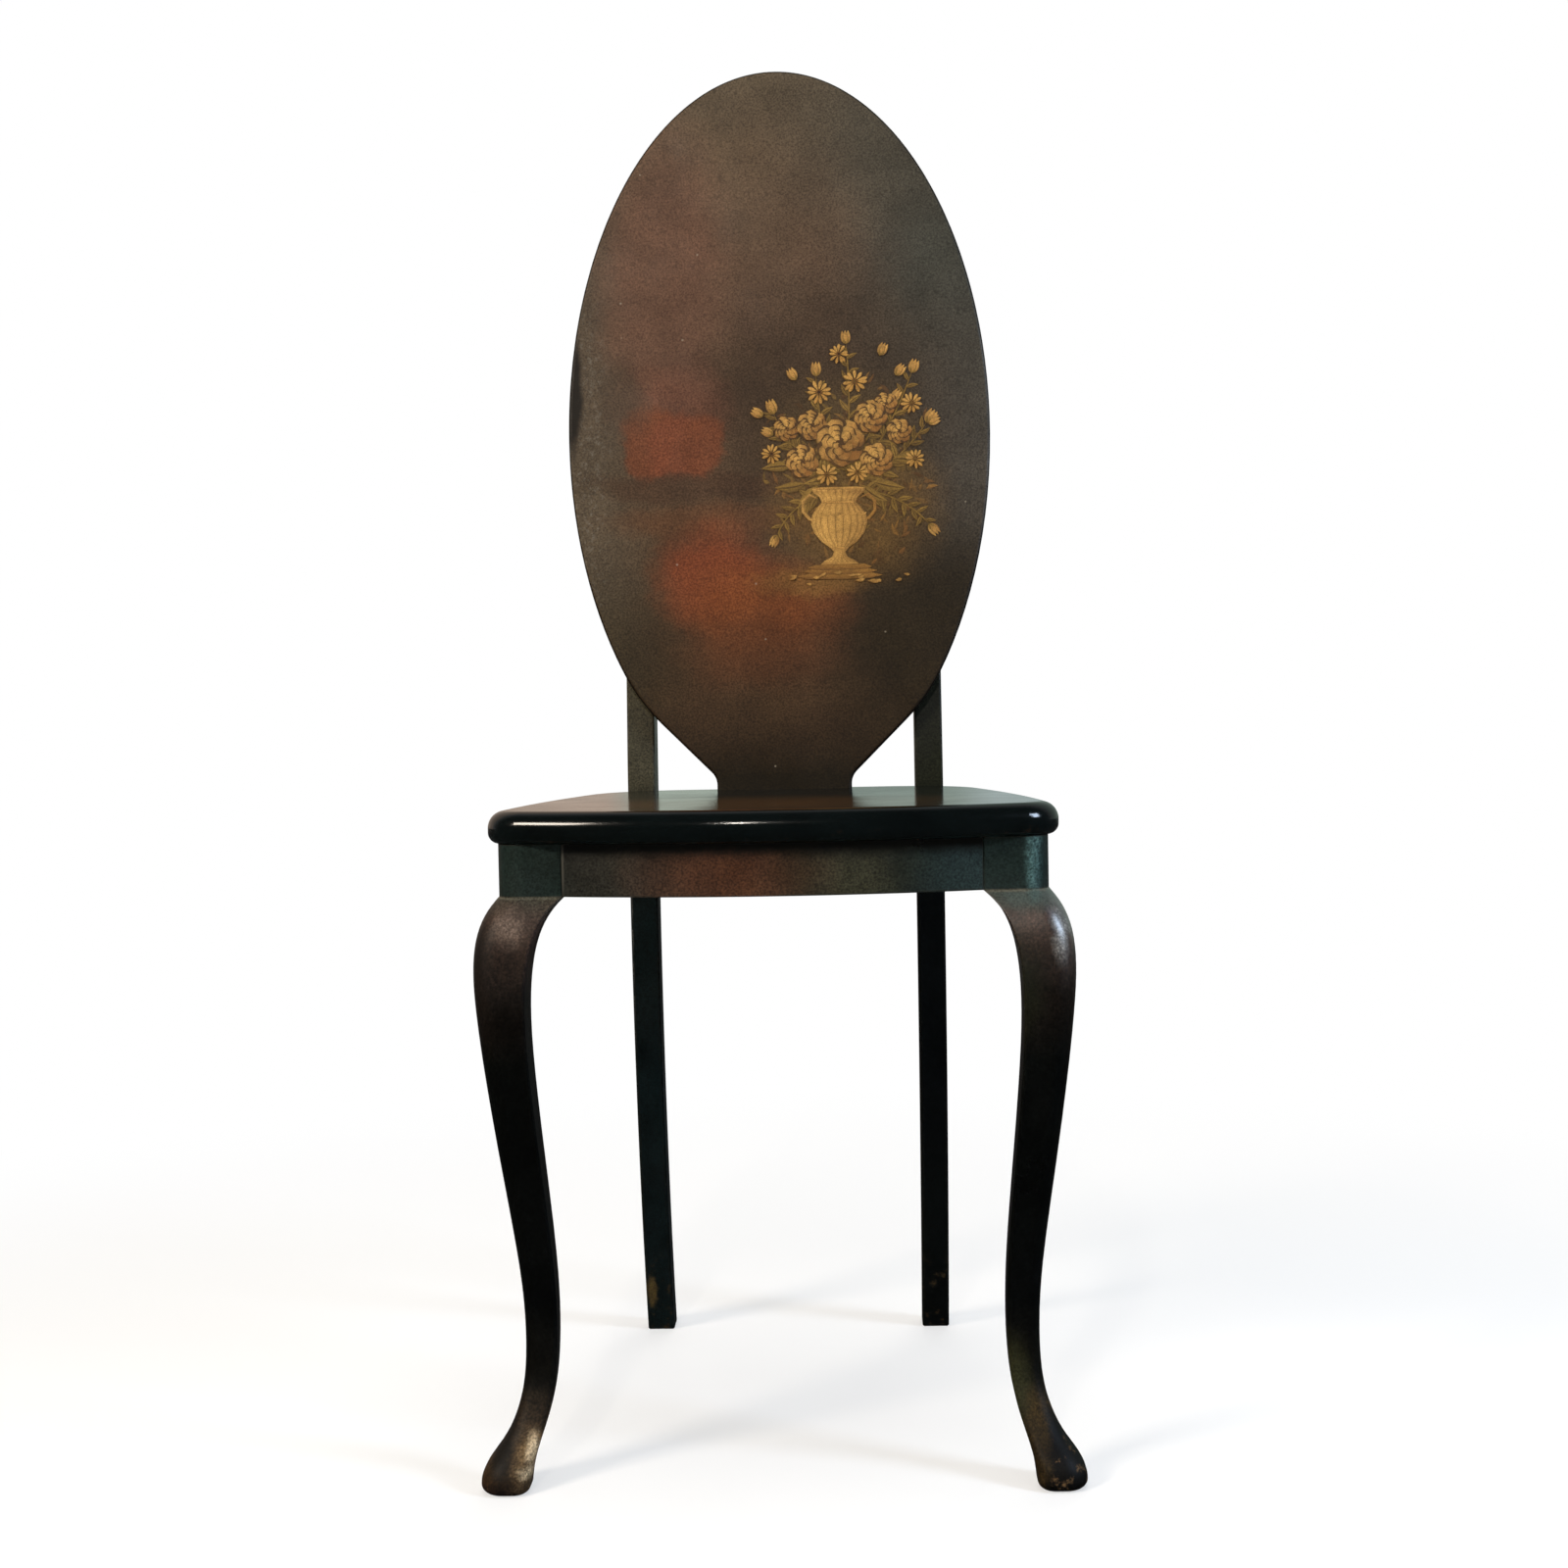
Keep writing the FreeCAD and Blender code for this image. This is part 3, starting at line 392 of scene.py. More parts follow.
def rose(across, up, size, turn):
    """Rings of cupped petals, the outer ones dark at the base and light at the rim."""
    stroke(sweep_line(across - size * 0.9, up, 0, size * 1.8), size * 1.7, "leaf",
           umber, shadow, 0.75)
    # Each ring's share of the flower's size, its count of petals and its tone.
    for share, count, tone in ((1.0, 7, 0.25), (0.76, 6, 0.4), (0.54, 5, 0.55), (0.34, 4, 0.6)):
        away = size * share
        for i in range(count):
            angle = turn + 360 * i / count + share * 40 + hand.uniform(-8, 8)
            base = ring_point(across, up, away * 0.2, angle)
            lit = (tone + 0.3 * math.sin(math.radians(angle))
                   - 0.18 * math.cos(math.radians(angle)))
            # Each petal lies on its own narrow shadow, which parts it from the next.
            stroke(sweep_line(*base, angle - 4, away * 0.86), away * 0.86, "petal",
                   umber, shadow, 0.7)
            stroke(sweep_line(*base, angle + 10, away * 0.82, hand.uniform(-30, 10)),
                   away * 0.78, "petal", cream, ochre, 0.94, lit)
    # The heart is four curled shadows.
    for i in range(4):
        stroke(sweep_line(across + 0.4, up - 0.3, turn + 90 * i, size * 0.3, 160), size * 0.09,
               "leaf", umber, shadow, 0.85)


def daisy(across, up, size, turn):
    """Eleven narrow petals round a centre of six dabs."""
    petals = 11
    for i in range(petals):
        angle = turn + 360 * i / petals + hand.uniform(-7, 7)
        base = ring_point(across, up, size * 0.2, angle)
        petal = sweep_line(*base, angle, size * hand.uniform(0.7, 0.85), hand.uniform(-15, 15))
        stroke(petal, size * 0.3, "petal", cream, gold, 0.95,
               0.5 + 0.3 * math.sin(math.radians(angle)))
    for angle in range(0, 360, 60):
        base = ring_point(across, up, size * 0.1, angle)
        stroke(sweep_line(*base, angle, size * 0.16), size * 0.16, "leaf",
               ochre, umber, 0.95, 0.5)


def bud(across, up, heading, size):
    """Three closed petals held by two small leaves."""
    for turn in (-24, 24, 0):
        stroke(sweep_line(across, up, heading + turn, size, -turn), size * 0.42, "leaf",
               cream, ochre, 0.95, 0.62 - turn / 100)
    for turn in (-40, 40):
        stroke(sweep_line(across, up, heading + turn, size * 0.5, -turn), size * 0.16, "leaf",
               leaf_gold, leaf_dark)


def spray(across, up, heading, length, bend, pairs, size):
    """A bending stem with leaves in pairs that get smaller towards the bud at its tip."""
    line = sweep_line(across, up, heading, length, bend, pairs * 2 + 2)
    stroke(line, 1.3, "band", leaf_gold, leaf_dark, 0.9, 0.5)
    for i in range(1, len(line) - 1):
        angle = heading + bend * i / len(line)
        side = 48 if i % 2 else -48
        leaf(*line[i], angle + side + hand.uniform(-12, 12), size * (1 - 0.5 * i / len(line)))
    bud(*line[-1], heading + bend, size * 0.7)


# Dabs of foliage and shade come first, in a fan that widens upwards behind the urn.
fan_middle, fan_foot, fan_top, fan_half_width = 52, 152, 305, 66
foliage = ((ochre, umber), (leaf_gold, leaf_dark), (umber, shadow), (gold, umber))
for i in range(420):
    across, up = hand.gauss(56, 30), hand.gauss(225, 36)
    off_middle = abs(across - fan_middle)
    if off_middle < min(fan_half_width, 30 + (up - 150) * 0.8) and fan_foot < up < fan_top:
        light, dark = hand.choice(foliage)
        dab = sweep_line(across, up, hand.uniform(10, 170), hand.uniform(5, 12),
                         hand.uniform(-50, 50), 3)
        stroke(dab, hand.uniform(1.8, 4.2), "leaf", light, dark, hand.uniform(0.25, 0.7))

# Then the sprays: each one's start, heading, length, bend, pairs and size of leaves.
for stem in (
    (40, 222, 148, 72, -40, 7, 18), (50, 226, 118, 84, -28, 7, 17), (52, 226, 84, 106, 10, 8, 16),
    (58, 224, 52, 96, 18, 7, 17), (60, 220, 26, 74, 30, 6, 18), (62, 216, -4, 62, -46, 6, 16),
    (34, 214, 196, 50, 50, 5, 15), (44, 226, 134, 60, 20, 5, 15), (54, 226, 68, 70, -16, 5, 15),
):
    spray(*stem)
for across, up, heading in ((20, 222, 200), (30, 220, 225), (74, 222, -20), (64, 220, -50),
                            (10, 236, 175), (88, 240, 5)):
    leaf(across, up, heading, 24)

# Urn: turned, with a fluted body, a rim, a foot and two handles, on a low plinth.
urn_middle = 46
for up, half in ((149.0, 33), (152.5, 29), (156.0, 25)):
    stroke(level_line(urn_middle, up, half, 8, 0.4), 4.6, "band", gold, umber, 0.9, 0.5)
handle = ((16, 210), (23, 213), (28, 208), (28, 200), (23, 194), (18, 192))
for side, light in ((-1, cream), (1, gold)):
    stroke([(urn_middle + side * x, up) for x, up in handle], 2.8, "band", light, umber, 1.0, 0.6)
# Its outline from the foot to the rim, as heights and half widths.
urn_outline = [(158, 15), (161, 12), (164, 6), (168, 4.5), (171, 7), (176, 14), (183, 19.5),
               (190, 22), (197, 21), (203, 17), (207, 13.5), (211, 15), (215, 20), (218, 20.5)]
flutes = 11
for i in range(flutes):
    # A flute's edges, as shares of the half width. The body is round, so the outer
    # flutes look narrower, and it is lightest a little left of its middle.
    near, far = (math.sin(math.radians(-90 + 180 * (i + j) / flutes)) for j in (0.02, 0.98))
    tone = 0.78 - 0.75 * abs((i + 0.5) / flutes - 0.3)
    level = next_level()
    rows = []
    for s in (0, 0.5, 1):
        row = []
        for up, half in urn_outline:
            # Each flute is lighter in its middle, and bands of tone run round the body.
            shade = tone + 0.12 * math.sin(up * 0.9) + 0.22 * math.sin(math.pi * s) - 0.12
            row.append(paint_point(urn_middle + half * (near + (far - near) * s), up, level,
                                   cream, umber, shade, 1.0))
        rows.append(row)
    skin(rows)
for up, half in ((218, 21), (207, 13), (171, 7), (159, 15)):
    stroke(level_line(urn_middle, up, half, 6), 2.0, "band", cream, ochre, 0.9, 0.6)
for i in range(5):
    stroke(sweep_line(urn_middle - 14 + 7 * i, 199, -65, 9, 130), 1.6, "band",
           cream, ochre, 0.8, 0.7)

# Flowers: roses in the middle, daisies and buds outside them.
for across, up, size in ((18, 240, 13), (76, 240, 13), (94, 262, 10), (6, 266, 10), (84, 284, 9)):
    rose(across, up, size, hand.uniform(0, 90))
for across, up, size in ((32, 294, 10), (60, 302, 10), (104, 284, 8.5), (-6, 246, 8),
                         (106, 240, 8), (48, 324, 8)):
    daisy(across, up, size, hand.uniform(0, 30))
rose(26, 268, 12, 5)
rose(72, 274, 13, 50)
rose(48, 254, 19, 20)
daisy(37, 229, 9, 12)
daisy(61, 230, 8.5, 3)
for across, up, heading in ((-12, 276, 150), (14, 304, 120), (80, 322, 66), (116, 268, 20),
                            (92, 306, 50)):
    bud(across, up, heading, 11)
# Fallen petals lie round the plinth.
for i in range(16):
    petal = sweep_line(hand.uniform(0, 98), hand.uniform(143, 152), hand.uniform(-25, 25),
                       hand.uniform(4, 8), 30, 4)
    stroke(petal, hand.uniform(1.8, 3.2), "petal", cream, ochre, hand.uniform(0.5, 0.9), 0.6)

bouquet_mesh = bpy.data.meshes.new("painted bouquet")
bouquet.to_mesh(bouquet_mesh)
bouquet.free()
bouquet_mesh.shade_smooth()
painted_bouquet = bpy.data.objects.new("painted_bouquet", bouquet_mesh)
bpy.context.collection.objects.link(painted_bouquet)
oil_colour, tree, place, finish = old_lacquer(
    "oil colours under browned lacquer", roughness=0.46, specular=0.13)
strokes = add(tree, "ShaderNodeAttribute", attribute_name="paint")
# The paint has rubbed thin in spots a few mm across, and the ground shows through.
rubbing = add(tree, "ShaderNodeTexNoise",
              {"Vector": place, "Scale": 1 / 0.005, "Detail": 5, "Roughness": 0.7})
kept = add(tree, "ShaderNodeMapRange",
           {"Value": rubbing.outputs[0], "From Min": 0.3, "From Max": 0.52,
            "To Min": 0.55, "To Max": 1})
cover = add(tree, "ShaderNodeMath", {0: strokes.outputs["Alpha"], 1: kept.outputs[0]},
            operation="MULTIPLY")
coloured = mottled(tree, place, strokes.outputs["Color"],
                   patches=0.15, grain=0.3, grain_mm=0.9)
painted = mixed(tree, cover.outputs[0], painted_ground_and_sheen(tree, place), coloured)
tree.links.new(painted, finish.inputs["Base Color"])
bouquet_mesh.materials.append(oil_colour)
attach(painted_bouquet, "root")


# Seat board: one thick board with a rolled edge, in many coats of near-black
# lacquer rubbed to a high gloss. It has browned on top and chipped a little along
# the front.
def arrises(tree, width_mm):
    """1 on edges and corners, out to that width, and 0 on flat faces."""
    rounded = add(tree, "ShaderNodeBevel", {"Radius": width_mm / 1000}, samples=6)
    flat = add(tree, "ShaderNodeNewGeometry")
    match = add(tree, "ShaderNodeVectorMath", {0: rounded.outputs[0], 1: flat.outputs["Normal"]},
                operation="DOT_PRODUCT")
    turned = add(tree, "ShaderNodeMapRange",
                 {"Value": match.outputs["Value"], "From Min": 0.998, "From Max": 0.93},
                 interpolation_type="SMOOTHSTEP")
    return turned.outputs[0]


def flaked(tree, place, under, colour, size_mm, start, full, where, detail=6):
    """The colour under, with another in flakes of about that size. They lie only
    inside the mask given as where, and start and full say how much of the noise
    they take."""
    noise = add(tree, "ShaderNodeTexNoise",
                {"Vector": place, "Scale": 1000 / size_mm, "Detail": detail, "Roughness": 0.7})
    flakes = add(tree, "ShaderNodeMapRange",
                 {"Value": noise.outputs[0], "From Min": start, "From Max": full})
    there = add(tree, "ShaderNodeMath", {0: flakes.outputs[0], 1: where}, operation="MULTIPLY")
    return mixed(tree, there.outputs[0], under, linear(colour))


seat_lacquer, tree, place, finish = old_lacquer(
    "black gloss lacquer", roughness=0.13, specular=0.3, crazing_mm=3.0, crazing_depth=0.1)
near_black = mottled(tree, place, linear("#050909"), patches=0.3, grain=0.25)
ragged = drifting(tree, place, size_mm=40, reach_mm=20)
browned = cloud(tree, ragged, (-30, -130, 445), (130, 90, 30), 0.7)
on_top = add(tree, "ShaderNodeMath", {0: browned, 1: facing(tree, "Z", 0.95, 0.99)},
             operation="MULTIPLY")
seat_colour = mixed(tree, on_top.outputs[0], near_black, linear("#3d2712"))
seat_colour = flaked(tree, place, seat_colour, "#3a281c", size_mm=6, start=0.62, full=0.68,
                     where=arrises(tree, 9), detail=4)
# Underneath it is only stained. Its grain runs from side to side.
stained = wood_grain(tree, place, "#5a4429", "#38291a", line_mm=3.0)
seat_colour = mixed(tree, facing(tree, "Z", -0.985, -0.998), seat_colour, stained)
tree.links.new(seat_colour, finish.inputs["Base Color"])
nodes["seat_board"].data.materials[0] = seat_lacquer


# Rails: the front one is sawn to a bow and the others are straight, all of them
# thin boards stained and lacquered a dark teal, with one warm patch in front
# where the brown ground shows through.
rail_lacquer, tree, place, finish = old_lacquer(
    "teal black satin lacquer", roughness=0.34, specular=0.3)
ragged = drifting(tree, place, size_mm=40, reach_mm=14)
rail_colour = linear("#192422")
for middle, reach, softness, colour in (
    ((-90, -215, 405), (80, 60, 60), 0.6, "#23221d"),
    ((40, -220, 405), (50, 60, 60), 0.6, "#29281c"),
    ((-30, -220, 402), (46, 60, 30), 0.8, "#432818"),
):
    rail_colour = patched(tree, ragged, rail_colour, middle, reach, softness, colour)
rail_colour = mottled(tree, place, rail_colour, patches=0.35, grain=0.6, grain_mm=1.4)
rail_colour = mixed(tree, arrises(tree, 2.0), rail_colour, linear("#23251f"))
# Painted shade darkens it just under the seat's edge, where the seat overhangs it.
rail_colour = patched(tree, place, rail_colour, (0, 0, 425), (0, 0, 9), 0.7, "#0b0b08",
                      frayed=(12, 4))
# The glue line at the left leg has gone pale.
rail_colour = patched(tree, place, rail_colour, (-135.8, -200, 408), (0.9, 60, 15), 0.5,
                      "#3c3b35", frayed=(12, 0.8))
# The faces that look towards the middle of the seat frame, which is given in
# metres, are stained wood without lacquer.
frame_middle = (0, 0.010, 0.406)
inward = add(tree, "ShaderNodeVectorMath", {0: frame_middle, 1: place}, operation="SUBTRACT")
normal = add(tree, "ShaderNodeNewGeometry").outputs["Normal"]
looks = add(tree, "ShaderNodeVectorMath", {0: inward.outputs[0], 1: normal},
            operation="DOT_PRODUCT")
inside = add(tree, "ShaderNodeMapRange",
             {"Value": looks.outputs["Value"], "From Min": 0.04, "From Max": 0.06})
stained = mottled(tree, place, linear("#4b3823"), patches=0.3, grain=0.3, grain_mm=1.2)
rail_colour = mixed(tree, inside.outputs[0], rail_colour, stained)
tree.links.new(rail_colour, finish.inputs["Base Color"])
for name in ("front_rail", "rear_rail", "side_rail_right", "side_rail_left"):
    nodes[name].data.materials[0] = rail_lacquer


# Front legs: cabriole legs with pad feet, each sawn and shaped from one block.
# The lacquer is teal black on the block, reddish brown on the knee, almost black
# down the leg, and rubbed to bronze and bare wood round the foot.
leg_lacquer, tree, place, finish = old_lacquer(
    "worn satin lacquer on carved leg", roughness=0.34, specular=0.16)
# From the floor to the top of the knee, in mm.
leg_by_height = [(0, "#1f120c"), (14, "#33230f"), (40, "#2b2013"), (66, "#0c0b07"),
                 (120, "#030404"), (280, "#030403"), (325, "#130e0a"), (352, "#251a13"),
                 (374, "#33261f"), (387, "#333028")]
ragged = drifting(tree, place, size_mm=30, reach_mm=10)
ragged_height = add(tree, "ShaderNodeSeparateXYZ", {0: ragged}).outputs["Z"]
leg_colour = mottled(tree, place, by_height(tree, ragged_height, leg_by_height),
                     patches=0.4, grain=0.5, grain_mm=1.8)
# The right foot has kept more of its black than the left, and both are chipped.
leg_colour = patched(tree, place, leg_colour, (160, -200, 15), (60, 80, 40), 0.4, "#060503",
                     dirt=(0.5, 0.4))
leg_colour = flaked(tree, place, leg_colour, "#5c462c", size_mm=12, start=0.56, full=0.66,
                    where=cloud(tree, place, (0, 0, 10), (0, 0, 34), 0.5))
# Each place's middle and reach in mm, how soft its edge is, its colour, and the
# fraying and the dirt of it where it has them.
for spot in (
    # The left foot is rubbed to bronze, but not on its outer side, and two painted highlights lie
    # on its instep.
    ((-163, -214, 20), (15, 34, 20), 0.6, "#59472f", (10, 6), (0.6, 0.5)),
    ((-183, 0, 34), (9, 0, 28), 0.6, "#0f0c08", (10, 6)),
    ((-163, -216, 31), (5, 30, 10), 0.6, "#b7a484", (6, 5), (0.6, 0.5)),
    ((-165, -218, 15), (7, 30, 4), 0.6, "#b7a484", (6, 5), (0.6, 0.5)),
    # The left knee has a painted highlight on top and painted shade on its outer side.
    ((-170, 0, 371), (10, 0, 10), 0.9, "#4f4239", (12, 8), (0.3, 0.4)),
    ((-194, 0, 352), (11, 0, 46), 0.7, "#15100d", (12, 6)),
    # The right ankle is olive, and its foot ochre on the inner side.
    ((147, -200, 62), (16, 40, 34), 0.5, "#2b2b17", (10, 6)),
    ((165, -205, 32), (8, 40, 26), 0.6, "#35280f", (8, 6), (0.5, 0.5)),
    # The top of the right knee is green.
    ((164, 0, 388), (24, 0, 11), 0.6, "#39403a", (8, 6)),
):
    leg_colour = patched(tree, place, leg_colour, *spot)
# The block above the knee is teal black like the rails, and ends in a line of painted highlight.
height = add(tree, "ShaderNodeSeparateXYZ", {0: place}).outputs["Z"]
block = add(tree, "ShaderNodeMapRange",
            {"Value": height, "From Min": 0.3888, "From Max": 0.3894})
leg_colour = mixed(tree, block.outputs[0], leg_colour, linear("#18221f"))
leg_colour = patched(tree, place, leg_colour, (0, 0, 388.6), (0, 0, 0.9), 0.5, "#4b493e")
for spot in (
    # The right knee has a painted highlight at its outer side, and the block's outer corner a
    # painted highlight of cool light.
    ((185, 0, 367), (5, 0, 18), 0.7, "#5c5a55", (8, 6), (0.6, 0.6)),
    ((169, 0, 410), (4.5, 0, 20), 0.8, "#394f4c", (9, 4), (0.7, 0.6)),
    # Below that knee the leg is olive black.
    ((142, -190, 330), (26, 60, 34), 0.6, "#17190d", (12, 8)),
):
    leg_colour = patched(tree, place, leg_colour, *spot)
leg_colour = mixed(tree, arrises(tree, 1.5), leg_colour, linear("#1c1a14"))
leg_colour = mottled(tree, place, leg_colour, patches=0.2, grain=0.45, grain_mm=1.4)
tree.links.new(leg_colour, finish.inputs["Base Color"])
# Both feet and the left knee have gone dull where shoes and skirts rub them.
feet = cloud(tree, place, (0, 0, 16), (0, 0, 50), 0.5)
left_knee = cloud(tree, place, (-180, 0, 360), (40, 0, 40), 0.5)
rubbed = add(tree, "ShaderNodeMath", {0: feet, 1: left_knee}, operation="MAXIMUM")
as_aged = finish.inputs["Roughness"].links[0].from_socket
dull = add(tree, "ShaderNodeMath", {0: rubbed.outputs[0], 1: 0.2, 2: as_aged},
           operation="MULTIPLY_ADD")
tree.links.new(dull.outputs[0], finish.inputs["Roughness"])
# The right knee is polished instead.
knees = cloud(tree, place, (0, 0, 362), (0, 0, 30), 0.5)
side = add(tree, "ShaderNodeSeparateXYZ", {0: place}).outputs["X"]
to_right = add(tree, "ShaderNodeMapRange", {"Value": side, "From Min": -0.1, "From Max": 0.1})
polished = add(tree, "ShaderNodeMath", {0: knees, 1: to_right.outputs[0]},
               operation="MULTIPLY")
tree.links.new(polished.outputs[0], finish.inputs["Coat Weight"])
finish.inputs["Coat Roughness"].default_value = 0.33
for name in ("front_leg_right", "front_leg_left"):
    nodes[name].data.materials[0] = leg_lacquer


# Rear posts: one sawn piece each, from foot to top. They are finished like the
# rails, browner above the seat, and scuffed to ochre on the feet.
post_lacquer, tree, place, finish = old_lacquer(
    "olive black satin lacquer", roughness=0.38, specular=0.2)
axes = add(tree, "ShaderNodeSeparateXYZ", {0: place}).outputs
above_seat = add(tree, "ShaderNodeMapRange",
                 {"Value": axes["Z"], "From Min": 0.43, "From Max": 0.45})
# The left one is paler above the seat than the right one.
to_left = add(tree, "ShaderNodeMapRange",
              {"Value": axes["X"], "From Min": 0.1, "From Max": -0.1})
olive = mixed(tree, to_left.outputs[0], linear("#191a11"), linear("#403c2d"))
below = mixed(tree, to_left.outputs[0], linear("#040707"), linear("#071213"))
post_colour = mixed(tree, above_seat.outputs[0], below, olive)
post_colour = mottled(tree, place, post_colour, patches=0.35, grain=0.6, grain_mm=1.4)
post_colour = flaked(tree, place, post_colour, "#2f2514", size_mm=9, start=0.55, full=0.65,
                     where=cloud(tree, place, (0, 0, 20), (0, 0, 36), 0.5))
# The left foot has been knocked on its outer corner.
post_colour = patched(tree, place, post_colour, (-118.5, 0, 34), (4, 0, 12), 0.5, "#4a3c1e",
                      frayed=(8, 6), dirt=(0.6, 0.5))
post_colour = mixed(tree, arrises(tree, 2.6), post_colour, linear("#12110c"))
tree.links.new(post_colour, finish.inputs["Base Color"])
for name in ("rear_post_right", "rear_post_left"):
    nodes[name].data.materials[0] = post_lacquer


# Corner blocks: four three-cornered blocks of pale sawn softwood, glued and
# screwed into the corners of the seat frame. They are bare, with the saw's marks
# and clear growth lines.
bare_wood, tree, place, finish = new_material("bare sawn softwood")
# The grain of each block runs along its long face, at 45 degrees to the rails.
from_middle = add(tree, "ShaderNodeVectorMath", {0: place, 1: (0, frame_middle[1], 0)},
                  operation="SUBTRACT")
folded = add(tree, "ShaderNodeVectorMath", {0: from_middle.outputs[0]},
             operation="ABSOLUTE")
turned = add(tree, "ShaderNodeVectorRotate",
             {"Vector": folded.outputs[0], "Angle": math.radians(45)}, rotation_type="Z_AXIS")
growth = wood_grain(tree, turned.outputs[0], "#b08d5f", "#7f5d38")
tree.links.new(growth, finish.inputs["Base Color"])
saw = add(tree, "ShaderNodeTexNoise", {"Vector": place, "Scale": 1 / 0.0012, "Detail": 2})
bump = add(tree, "ShaderNodeBump",
           {"Height": saw.outputs[0], "Strength": 0.4, "Distance": 0.0002})
tree.links.new(bump.outputs[0], finish.inputs["Normal"])
finish.inputs["Roughness"].default_value = 0.85
finish.inputs["Specular IOR Level"].default_value = 0.25
for name in ("corner_block_front_right", "corner_block_front_left",
             "corner_block_rear_right", "corner_block_rear_left"):
    nodes[name].data.materials[0] = bare_wood


# Dowels: turned beech pins, 8 mm across, glued into the ends of the rails. Beech
# is even and pinkish, with short dark flecks.
beech, tree, place, finish = new_material("turned beech")
flecks = add(tree, "ShaderNodeTexNoise", {"Vector": place, "Scale": 1 / 0.0015, "Detail": 3})
dark = add(tree, "ShaderNodeMapRange",
           {"Value": flecks.outputs[0], "From Min": 0.58, "From Max": 0.64})
even = mottled(tree, place, linear("#c39a6c"), patches=0.12, grain=0.1)
tree.links.new(mixed(tree, dark.outputs[0], even, linear("#94683f")),
               finish.inputs["Base Color"])
finish.inputs["Roughness"].default_value = 0.6
finish.inputs["Specular IOR Level"].default_value = 0.3
for name in ("front_rail_dowels", "side_rail_front_dowels", "side_rail_rear_dowels",
             "rear_rail_dowels"):
    nodes[name].data.materials[0] = beech


# Screws: slotted steel wood screws with countersunk heads, let into the posts,
# the seat and the corner blocks. The steel has dulled and is spotted with rust.
steel, tree, place, finish = new_material("dulled steel")
rust = add(tree, "ShaderNodeTexNoise",
           {"Vector": place, "Scale": 1 / 0.004, "Detail": 6, "Roughness": 0.7})
rusted = add(tree, "ShaderNodeMapRange",
             {"Value": rust.outputs[0], "From Min": 0.52, "From Max": 0.62}).outputs[0]
clean = mottled(tree, place, linear("#8f8d88"), patches=0.2, grain=0.2, grain_mm=0.8)
tree.links.new(mixed(tree, rusted, clean, linear("#5a3a26")), finish.inputs["Base Color"])
# Rust is rough, and has little of the metal's own reflection.
rough = add(tree, "ShaderNodeMapRange", {"Value": rusted, "To Min": 0.38, "To Max": 0.8})
tree.links.new(rough.outputs[0], finish.inputs["Roughness"])
metal = add(tree, "ShaderNodeMapRange", {"Value": rusted, "To Min": 1.0, "To Max": 0.1})
tree.links.new(metal.outputs[0], finish.inputs["Metallic"])
for name in ("panel_screws", "neck_screws", "seat_screws", "corner_block_screws"):
    nodes[name].data.materials[0] = steel


# Floor and backdrop: one white sweep of card, flat under the chair and curving
# up behind it. Round the chair it takes the lamps' light, so that it keeps the
# chair's shadow, and further off it is plain white.
card_front, card_bend, bend_radius, card_top, card_half_width = -1.4, 3.0, 1.5, 7.0, 9.0
bend_steps = 12
profile = [(card_front, 0.0), (card_bend, 0.0)]
for step in range(1, bend_steps + 1):
    angle = math.radians(90 * step / bend_steps)
    profile.append((card_bend + bend_radius * math.sin(angle),
                    bend_radius - bend_radius * math.cos(angle)))
profile.append((card_bend + bend_radius, card_top))
corners = [(x, y, z) for y, z in profile for x in (-card_half_width, card_half_width)]
faces = [(i, i + 1, i + 3, i + 2) for i in range(0, len(corners) - 2, 2)]
sweep_mesh = bpy.data.meshes.new("card sweep")
sweep_mesh.from_pydata(corners, [], faces)
sweep_mesh.shade_smooth()
sweep = bpy.data.objects.new("card_sweep", sweep_mesh)
bpy.context.collection.objects.link(sweep)
card, tree, place, finish = new_material("matt white card")
finish.inputs["Base Color"].default_value = linear("#f4f3f0")
finish.inputs["Roughness"].default_value = 0.9
rays = add(tree, "ShaderNodeLightPath").outputs
mirrored = rays["Is Glossy Ray"]
# The camera sees it as half lit card round the chair, and elsewhere as plain white.
near = cloud(tree, place, (0, 50, 0), (850, 850, 0), 0.55)
plain = add(tree, "ShaderNodeMapRange", {"Value": near, "To Min": 1.0, "To Max": 0.5})
seen = add(tree, "ShaderNodeMath", {0: rays["Is Camera Ray"], 1: plain.outputs[0]},
           operation="MULTIPLY")
white_share = add(tree, "ShaderNodeMath", {0: seen.outputs[0], 1: mirrored},
                  operation="MAXIMUM")
# The lacquer mirrors it as the grey of an unlit card, warm on the left and cool on
# the right, with two paler places, and darker where it lies flat.
axes = add(tree, "ShaderNodeSeparateXYZ", {0: place}).outputs
to_right = add(tree, "ShaderNodeMapRange",
               {"Value": axes["X"], "From Min": -0.6, "From Max": -0.45})
tint = mixed(tree, to_right.outputs[0], linear("#cbb8a8"), linear("#9baaa1"))
tint = patched(tree, place, tint, (-400, 0, 0), (120, 0, 0), 0.6, "#b7c3b6")
tint = patched(tree, place, tint, (480, 0, 0), (120, 0, 0), 0.6, "#bfcecc")
raised = add(tree, "ShaderNodeMapRange",
             {"Value": axes["Z"], "From Min": 0.15, "From Max": 0.45})
tint = mixed(tree, raised.outputs[0], linear("#373736"), tint)
white = add(tree, "ShaderNodeEmission",
            {"Color": mixed(tree, mirrored, (1, 1, 1, 1), tint), "Strength": 1})
both = add(tree, "ShaderNodeMixShader",
           {0: white_share.outputs[0], 1: finish.outputs[0], 2: white.outputs[0]})
tree.links.new(both.outputs[0], tree.nodes["Material Output"].inputs["Surface"])
sweep_mesh.materials.append(card)


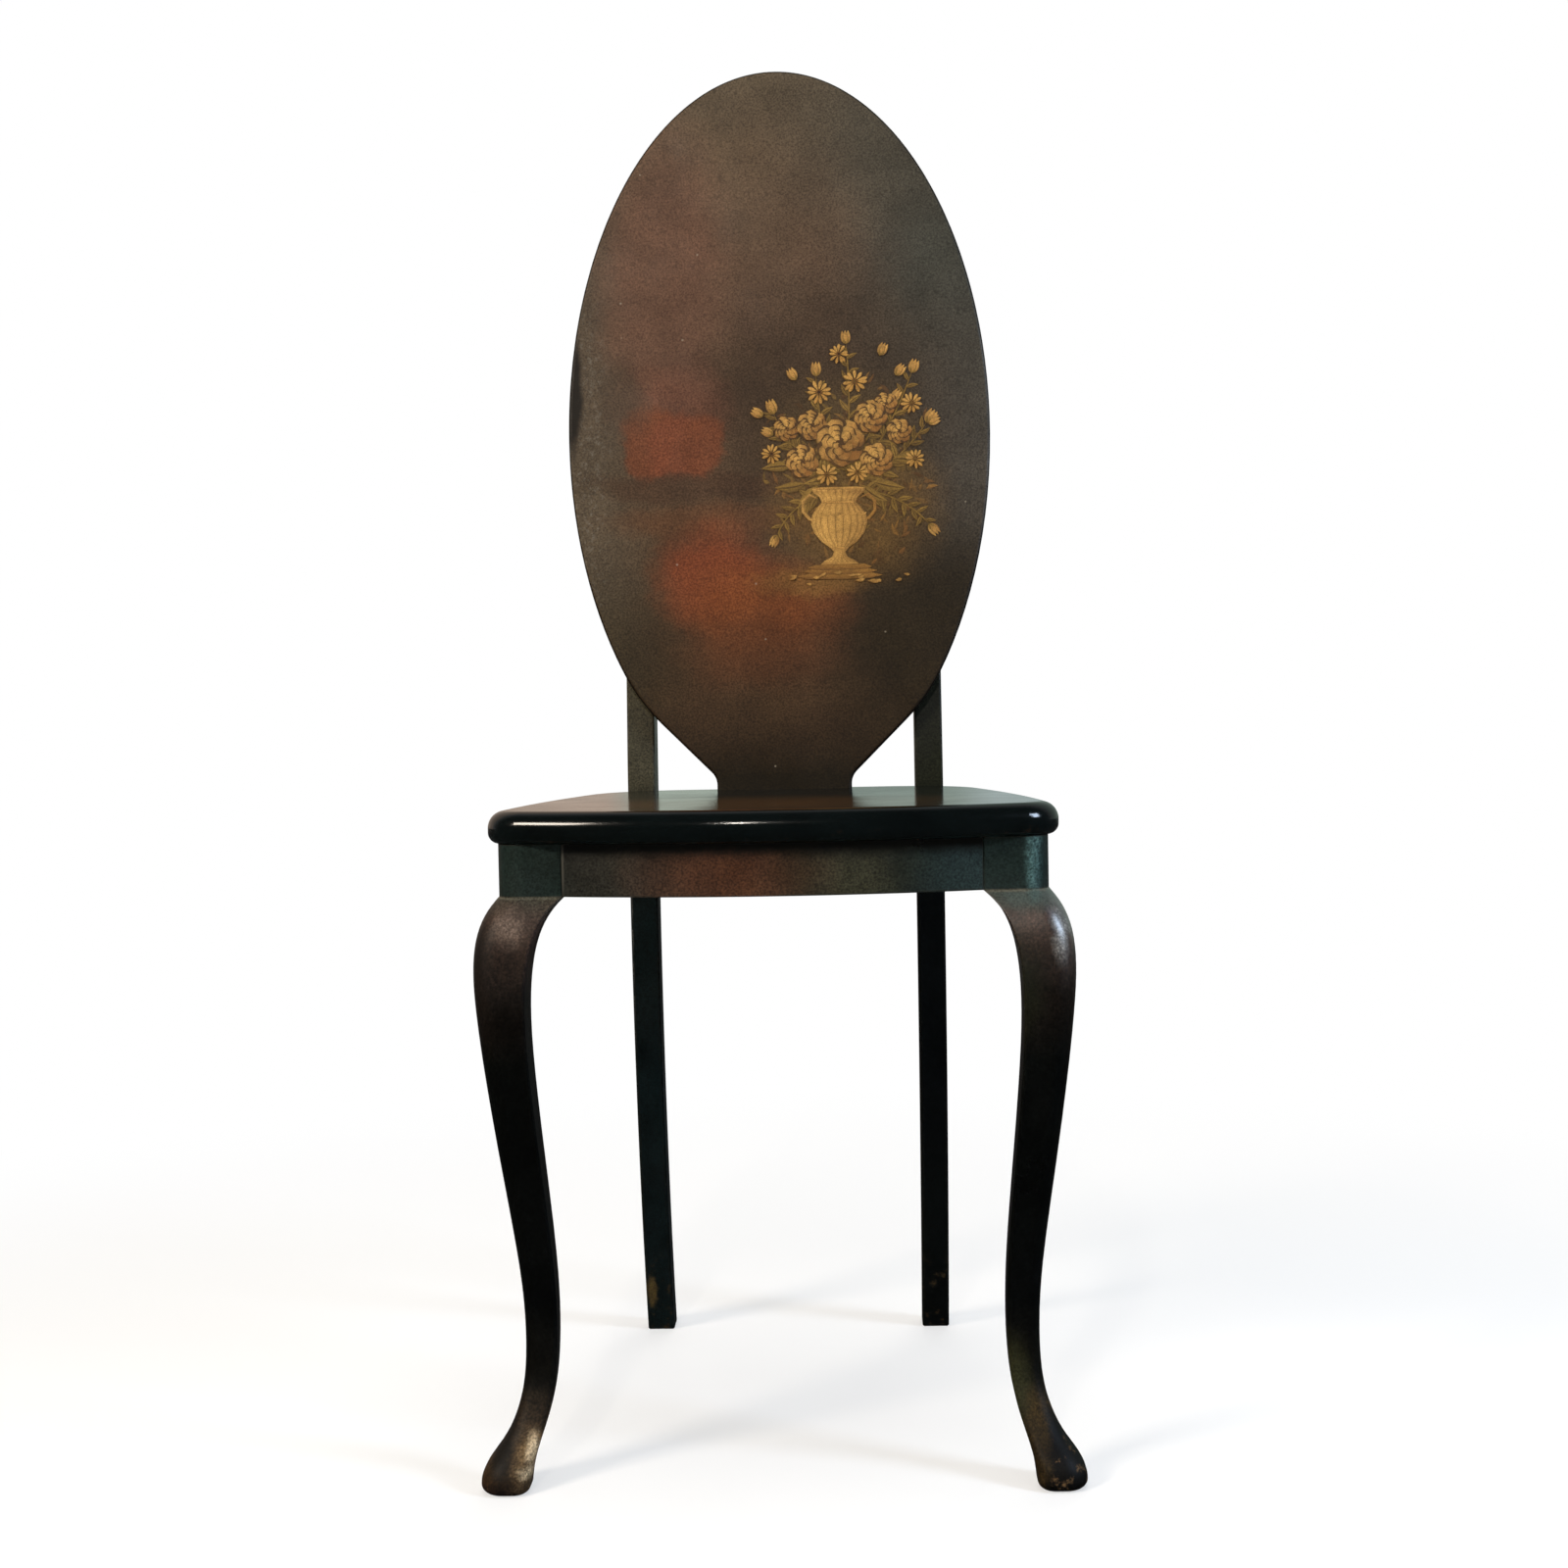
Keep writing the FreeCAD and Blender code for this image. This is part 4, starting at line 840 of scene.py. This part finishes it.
# Lamps: the soft daylight of a pale room, from two windows in front at the sides
# and a narrow one far off behind the camera. The room is dark behind the camera
# and lighter beyond the chair.
world = bpy.data.worlds.new("room")
bpy.context.scene.world = world
world.use_nodes = True
tree = world.node_tree
direction = add(tree, "ShaderNodeTexCoord").outputs["Generated"]
ahead = add(tree, "ShaderNodeSeparateXYZ", {0: direction}).outputs["Y"]
daylight = add(tree, "ShaderNodeMapRange",
               {"Value": ahead, "From Min": 0.0, "From Max": 0.7, "To Min": 0.05,
                "To Max": 0.5}, interpolation_type="SMOOTHSTEP")
rays = add(tree, "ShaderNodeLightPath").outputs
# The camera sees it white.
strength = add(tree, "ShaderNodeMath", {0: rays["Is Camera Ray"], 1: daylight.outputs[0]},
               operation="MAXIMUM")
background = tree.nodes["Background"]
background.inputs["Color"].default_value = (1, 1, 1, 1)
tree.links.new(strength.outputs[0], background.inputs["Strength"])


def window(name, at, towards, width, height, watts, colour):
    """An oblong lamp that shines from one point towards another. Sizes are in metres."""
    lamp = bpy.data.lights.new(name, "AREA")
    lamp.shape = "RECTANGLE"
    lamp.size = width
    lamp.size_y = height
    lamp.energy = watts
    lamp.color = linear(colour)[:3]
    stand = bpy.data.objects.new(name, lamp)
    bpy.context.collection.objects.link(stand)
    turn = (Vector(at) - Vector(towards)).to_track_quat("Z", "Y")
    stand.matrix_world = Matrix.Translation(at) @ turn.to_matrix().to_4x4()
    return stand


window("left_window", (-1.62, -1.5, 1.7), (0, 0, 0.6),
       width=0.62, height=0.45, watts=45, colour="#fff1e0")
window("right_window", (1.7, -0.9, 1.3), (0, 0, 0.6),
       width=0.5, height=0.6, watts=32, colour="#d3e6ff")
window("far_window", (-0.46, -3.2, 2.3), (0, 0, 0.5),
       width=0.13, height=0.42, watts=26, colour="#fff6ea")
# The ceiling and the wall behind only bounce light back, too softly to be mirrored.
ceiling = window("ceiling_bounce", (0, -0.2, 2.6), (0, 0, 0.4),
                 width=1.6, height=1.6, watts=28, colour="#ffffff")
wall = window("wall_bounce", (0.3, 2.6, 1.6), (0, 0, 0.6),
              width=2.0, height=1.6, watts=34, colour="#ffffff")
ceiling.visible_glossy = wall.visible_glossy = False
